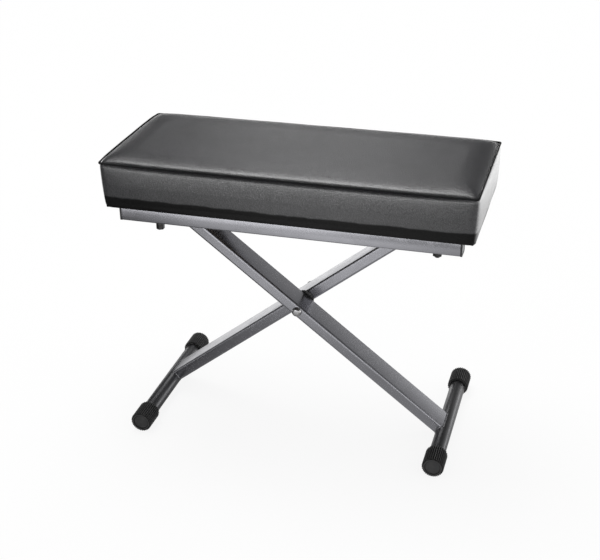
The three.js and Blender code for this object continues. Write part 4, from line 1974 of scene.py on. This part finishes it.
@dataclass
class Studio:
    """Camera, pale floor, soft lights and the surroundings that the coat reflects."""

    camera_place: tuple[float, float, float] = (0.4773, -1.6522, 1.1192)
    yaw: float = 16.36
    pitch: float = 26.82
    roll: float = -0.76
    lens: float = 69.65
    sensor: float = 36.0
    floor_half: float = 30.0
    floor_colour: tuple[float, float, float] = (0.93, 0.93, 0.93)
    view_slant: float = 0.29
    view_spread: float = 0.7
    seat_spread: float = 0.4
    floor_white: Fade = (0.3, 1.4, 0.88, 0.995)
    near_rise: Fade = (-0.25, -0.62, 0.0, 0.8)
    near_boost: Fade = (-0.7, -0.9, 1.3, 1.0)
    near_end: Fade = (-0.98, -1.06, 1.0, 0.0)
    near_left: Fade = (-0.5, -0.1, 0.1, 1.0)
    near_right: Fade = (0.12, 0.55, 1.0, 0.15)
    far_rise: Fade = (-0.85, -1.3, 0.0, 1.9)
    far_left: Fade = (-0.34, -0.12, 0.0, 1.0)
    far_right: Fade = (0.0, 0.3, 1.0, 0.0)
    feet_rise: Fade = (-0.4, 0.1, 0.16, 0.56)
    behind_rise: Fade = (0.1, 0.4, 0.0, 1.1)
    behind_right: Fade = (0.15, 0.38, 1.0, 0.0)
    behind_far: Fade = (0.85, 1.3, 0.6, 1.3)
    right_rise: Fade = (0.45, 1.0, 0.0, 1.6)
    right_back: Fade = (-0.15, 0.3, 0.0, 1.0)
    wall_rise: Fade = (-0.1, -0.6, 0.0, 6.6)
    wall_top: Fade = (0.1, 0.45, 1.0, 0.0)
    wall_left: Fade = (-0.58, -0.34, 0.1, 1.0)
    wall_right: Fade = (-0.18, 0.08, 1.0, 0.2)
    side_rise: Fade = (-0.1, 0.35, 0.0, 0.4)
    side_top: Fade = (0.8, 0.2, 0.0, 1.0)
    low_rise: Fade = (0.3, 0.55, 0.0, 1.5)
    low_top: Fade = (0.28, 0.08, 0.0, 1.0)
    left_rise: Fade = (-0.35, -0.6, 0.0, 0.7)
    left_top: Fade = (0.2, 0.05, 0.0, 1.0)
    left_back: Fade = (0.5, 0.75, 0.0, 1.0)
    fill: float = 0.6
    dim: float = 0.12
    panels: tuple[Panel, ...] = (
        Panel("overhead_panel", (-0.4, 0.45, 2.2), (-0.1, 0.0, 0.47), 1.2, 1.0, 5.0),
        Panel("rear_panel", (-0.5, 1.9, 1.5), (0.0, 0.0, 0.47), 0.8, 0.7, 1.3),
        Panel("right_panel", (2.3, 0.2, 0.9), (0.0, 0.0, 0.3), 1.2, 1.0, 1.2),
    )

    def camera(self) -> None:
        """Sets the camera at the photograph's viewpoint."""
        yaw, pitch, roll = (math.radians(angle) for angle in (self.yaw, self.pitch, self.roll))
        ahead = Vector(
            (-math.sin(yaw) * math.cos(pitch), math.cos(yaw) * math.cos(pitch), -math.sin(pitch))
        )
        right = Vector((math.cos(yaw), math.sin(yaw), 0))
        up = right.cross(ahead)
        right, up = (
            right * math.cos(roll) + up * math.sin(roll),
            up * math.cos(roll) - right * math.sin(roll),
        )
        data = bpy.data.cameras.new("photo_camera")
        data.lens, data.sensor_width = self.lens, self.sensor
        data.clip_start, data.clip_end = 0.05, 200
        camera = bpy.data.objects.new("photo_camera", data)
        turn = Matrix((right, up, -ahead)).transposed().to_4x4()
        camera.matrix_world = Matrix.Translation(self.camera_place) @ turn
        bpy.context.scene.collection.objects.link(camera)
        bpy.context.scene.camera = camera

    def bearing(self, shader: Shader, across: Socket, away: Socket) -> Socket:
        """Finds where a spot of the floor lies across the view, which widens in front.

        Args:
            shader: the floor's material.
            across: the spot's place along X.
            away: how far it lies in front of the bench.

        Returns:
            The place, 0 in the middle, where 1 is seat_spread to the right under the bench.
        """
        aside = shader.total(across, shader.product(away, self.view_slant))
        spread = shader.product(shader.sum("MAXIMUM", away, 0.0), self.view_spread)
        return shader.sum("DIVIDE", aside, shader.total(spread, self.seat_spread))

    def front_glow(self, shader: Shader, across: Socket, forward: Socket) -> Socket:
        """Works out the light that gloss finds on the floor in front.

        Args:
            shader: the floor's material.
            across: the place along X.
            forward: the place along Y.

        Returns:
            The light: near for rails and legs, far for the cushion, and a little by the feet.
        """
        bearing = self.bearing(shader, across, shader.product(forward, -1.0))
        near = shader.product(
            shader.faded(forward, self.near_rise, self.near_end, self.near_boost),
            shader.faded(bearing, self.near_left, self.near_right),
        )
        far = shader.product(
            shader.faded(forward, self.far_rise),
            shader.faded(bearing, self.far_left, self.far_right),
        )
        return shader.total(near, far, shader.faded(across, self.feet_rise))

    def back_glow(self, shader: Shader, across: Socket, forward: Socket) -> Socket:
        """Works out the light that gloss finds on the floor behind and to the right.

        Args:
            shader: the floor's material.
            across: the place along X.
            forward: the place along Y.

        Returns:
            The light.
        """
        aside = shader.faded(across, self.behind_right)
        beside = shader.sum("MAXIMUM", aside, shader.faded(forward, self.behind_far))
        behind = shader.product(shader.faded(forward, self.behind_rise), beside)
        right = shader.product(
            shader.faded(across, self.right_rise), shader.faded(forward, self.right_back)
        )
        return shader.total(behind, right)

    def floor(self) -> None:
        """Lays the pale floor: white to the camera, shadowed near the feet, lit to gloss."""
        Bench.deselect()
        bpy.ops.mesh.primitive_plane_add(size=2 * self.floor_half)
        floor = Bench.taken("studio_floor")
        shader = Shader("pale_floor")
        shader.set(Base_Color=(*self.floor_colour, 1), Roughness=0.9, Specular_IOR_Level=0.1)
        across, forward = shader.part(Axis.X), shader.part(Axis.Y)
        lit = shader.total(
            self.front_glow(shader, across, forward), self.back_glow(shader, across, forward)
        )
        glow = shader.node("ShaderNodeEmission", Strength=lit)
        white = shader.node("ShaderNodeEmission", Strength=1.0)
        square = shader.total(shader.product(across, across), shader.product(forward, forward))
        clear = shader.faded(shader.sum("SQRT", square), self.floor_white)
        path = shader.node("ShaderNodeLightPath")
        seen = shader.product(path.outputs["Is Camera Ray"], clear)
        result = shader.surface.outputs[0]
        for share, light in ((seen, white), (path.outputs["Is Glossy Ray"], glow)):
            mixed = shader.node("ShaderNodeMixShader")
            for socket, value in zip(mixed.inputs, (share, result, light.outputs[0])):
                shader.tree.links.new(value, socket)
            result = mixed.outputs[0]
        output = next(n for n in shader.tree.nodes if n.type == "OUTPUT_MATERIAL")
        shader.tree.links.new(result, output.inputs["Surface"])
        floor.data.materials.append(shader.material)

    def walls(self, sky: Nodes) -> Socket:
        """Works out the light that gloss finds round the bench: dim, with pale walls.

        Args:
            sky: the world's nodes.

        Returns:
            The light.
        """
        across, forward, up = (sky.part(axis) for axis in Axis)
        front = sky.product(
            sky.faded(forward, self.wall_rise),
            sky.faded(up, self.wall_top),
            sky.faded(across, self.wall_left, self.wall_right),
        )
        right = sky.product(sky.faded(across, self.side_rise), sky.faded(up, self.side_top))
        low_right = sky.product(sky.faded(across, self.low_rise), sky.faded(up, self.low_top))
        low_left = sky.product(
            sky.faded(across, self.left_rise),
            sky.faded(up, self.left_top),
            sky.faded(forward, self.left_back),
        )
        return sky.total(front, right, low_right, low_left, self.dim)

    def world(self) -> None:
        """Sets a white background over dim surroundings with pale walls."""
        world = bpy.data.worlds.new("studio")
        bpy.context.scene.world = world
        world.use_nodes = True
        world.node_tree.nodes.clear()
        sky = Nodes(world.node_tree, "Generated")
        path = sky.node("ShaderNodeLightPath")
        level: Socket | float = self.fill
        for ray, strength in (("Is Glossy Ray", self.walls(sky)), ("Is Camera Ray", 1.0)):
            mix = sky.node("ShaderNodeMix", data_type="FLOAT")
            sky.feed(mix.inputs[0], path.outputs[ray])
            sky.feed(mix.inputs[2], level)
            sky.feed(mix.inputs[3], strength)
            level = mix.outputs[0]
        background = sky.node("ShaderNodeBackground", Strength=level, Color=(1, 1, 1, 1))
        output = sky.node("ShaderNodeOutputWorld")
        sky.tree.links.new(background.outputs[0], output.inputs[0])

    def panel(self, panel: Panel) -> None:
        """Hangs one soft light panel.

        Args:
            panel: its place, aim, size and radiance.
        """
        data = bpy.data.lights.new(panel.name, "AREA")
        data.shape, data.size, data.size_y = "RECTANGLE", panel.wide, panel.tall
        data.energy = 4 * panel.wide * panel.tall * panel.radiance
        lamp = bpy.data.objects.new(panel.name, data)
        lamp.location = panel.place
        lamp.rotation_mode = "QUATERNION"
        lamp.rotation_quaternion = (Vector(panel.aim) - Vector(panel.place)).to_track_quat("-Z", "Y")
        bpy.context.scene.collection.objects.link(lamp)

    def build(self) -> None:
        """Builds the studio."""
        self.camera()
        self.floor()
        self.world()
        for panel in self.panels:
            self.panel(panel)
        bpy.context.scene.view_settings.view_transform = "Standard"


def dress_hidden_nodes() -> None:
    """Gives the CAD nodes that stay in the model their finishes."""
    finishes = {
        "seat_board": BOARD_WOOD,
        "front_leg_sleeve": ZINC,
        "rear_leg_sleeve": ZINC,
        "front_leg_insert_front": ZINC,
        "front_leg_insert_rear": ZINC,
    }
    for name, finish in finishes.items():
        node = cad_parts[name]
        node.data.materials.clear()
        node.data.materials.append(finish.material())


def corners(box: tuple[Vector, Vector]) -> list[list[float]]:
    """Writes a box as plain lists.

    Args:
        box: its lowest and highest corner.

    Returns:
        The corners as lists of numbers.
    """
    return [[float(value) for value in corner] for corner in box]


def main() -> None:
    """Builds the bench and its studio."""
    Studio().build()
    cover = Cover()
    cover.build()
    cover.piping()
    cover.pleats()
    cover.hem()
    cover.staples()
    rails, brackets = Rails(), Brackets()
    for side in Side:
        rails.rail(side)
        for end in End:
            rails.plug(side, end)
            rails.bolt(side, end)
        for kind in ("hinge", "notch"):
            brackets.plate(side, kind)
        for index in range(1, 5):
            brackets.screw(side, index)
    Leg("front_leg", "right").build()
    Leg("rear_leg", "left").build()
    Pivots().build()
    dress_hidden_nodes()


if __name__ == "__main__":
    main()
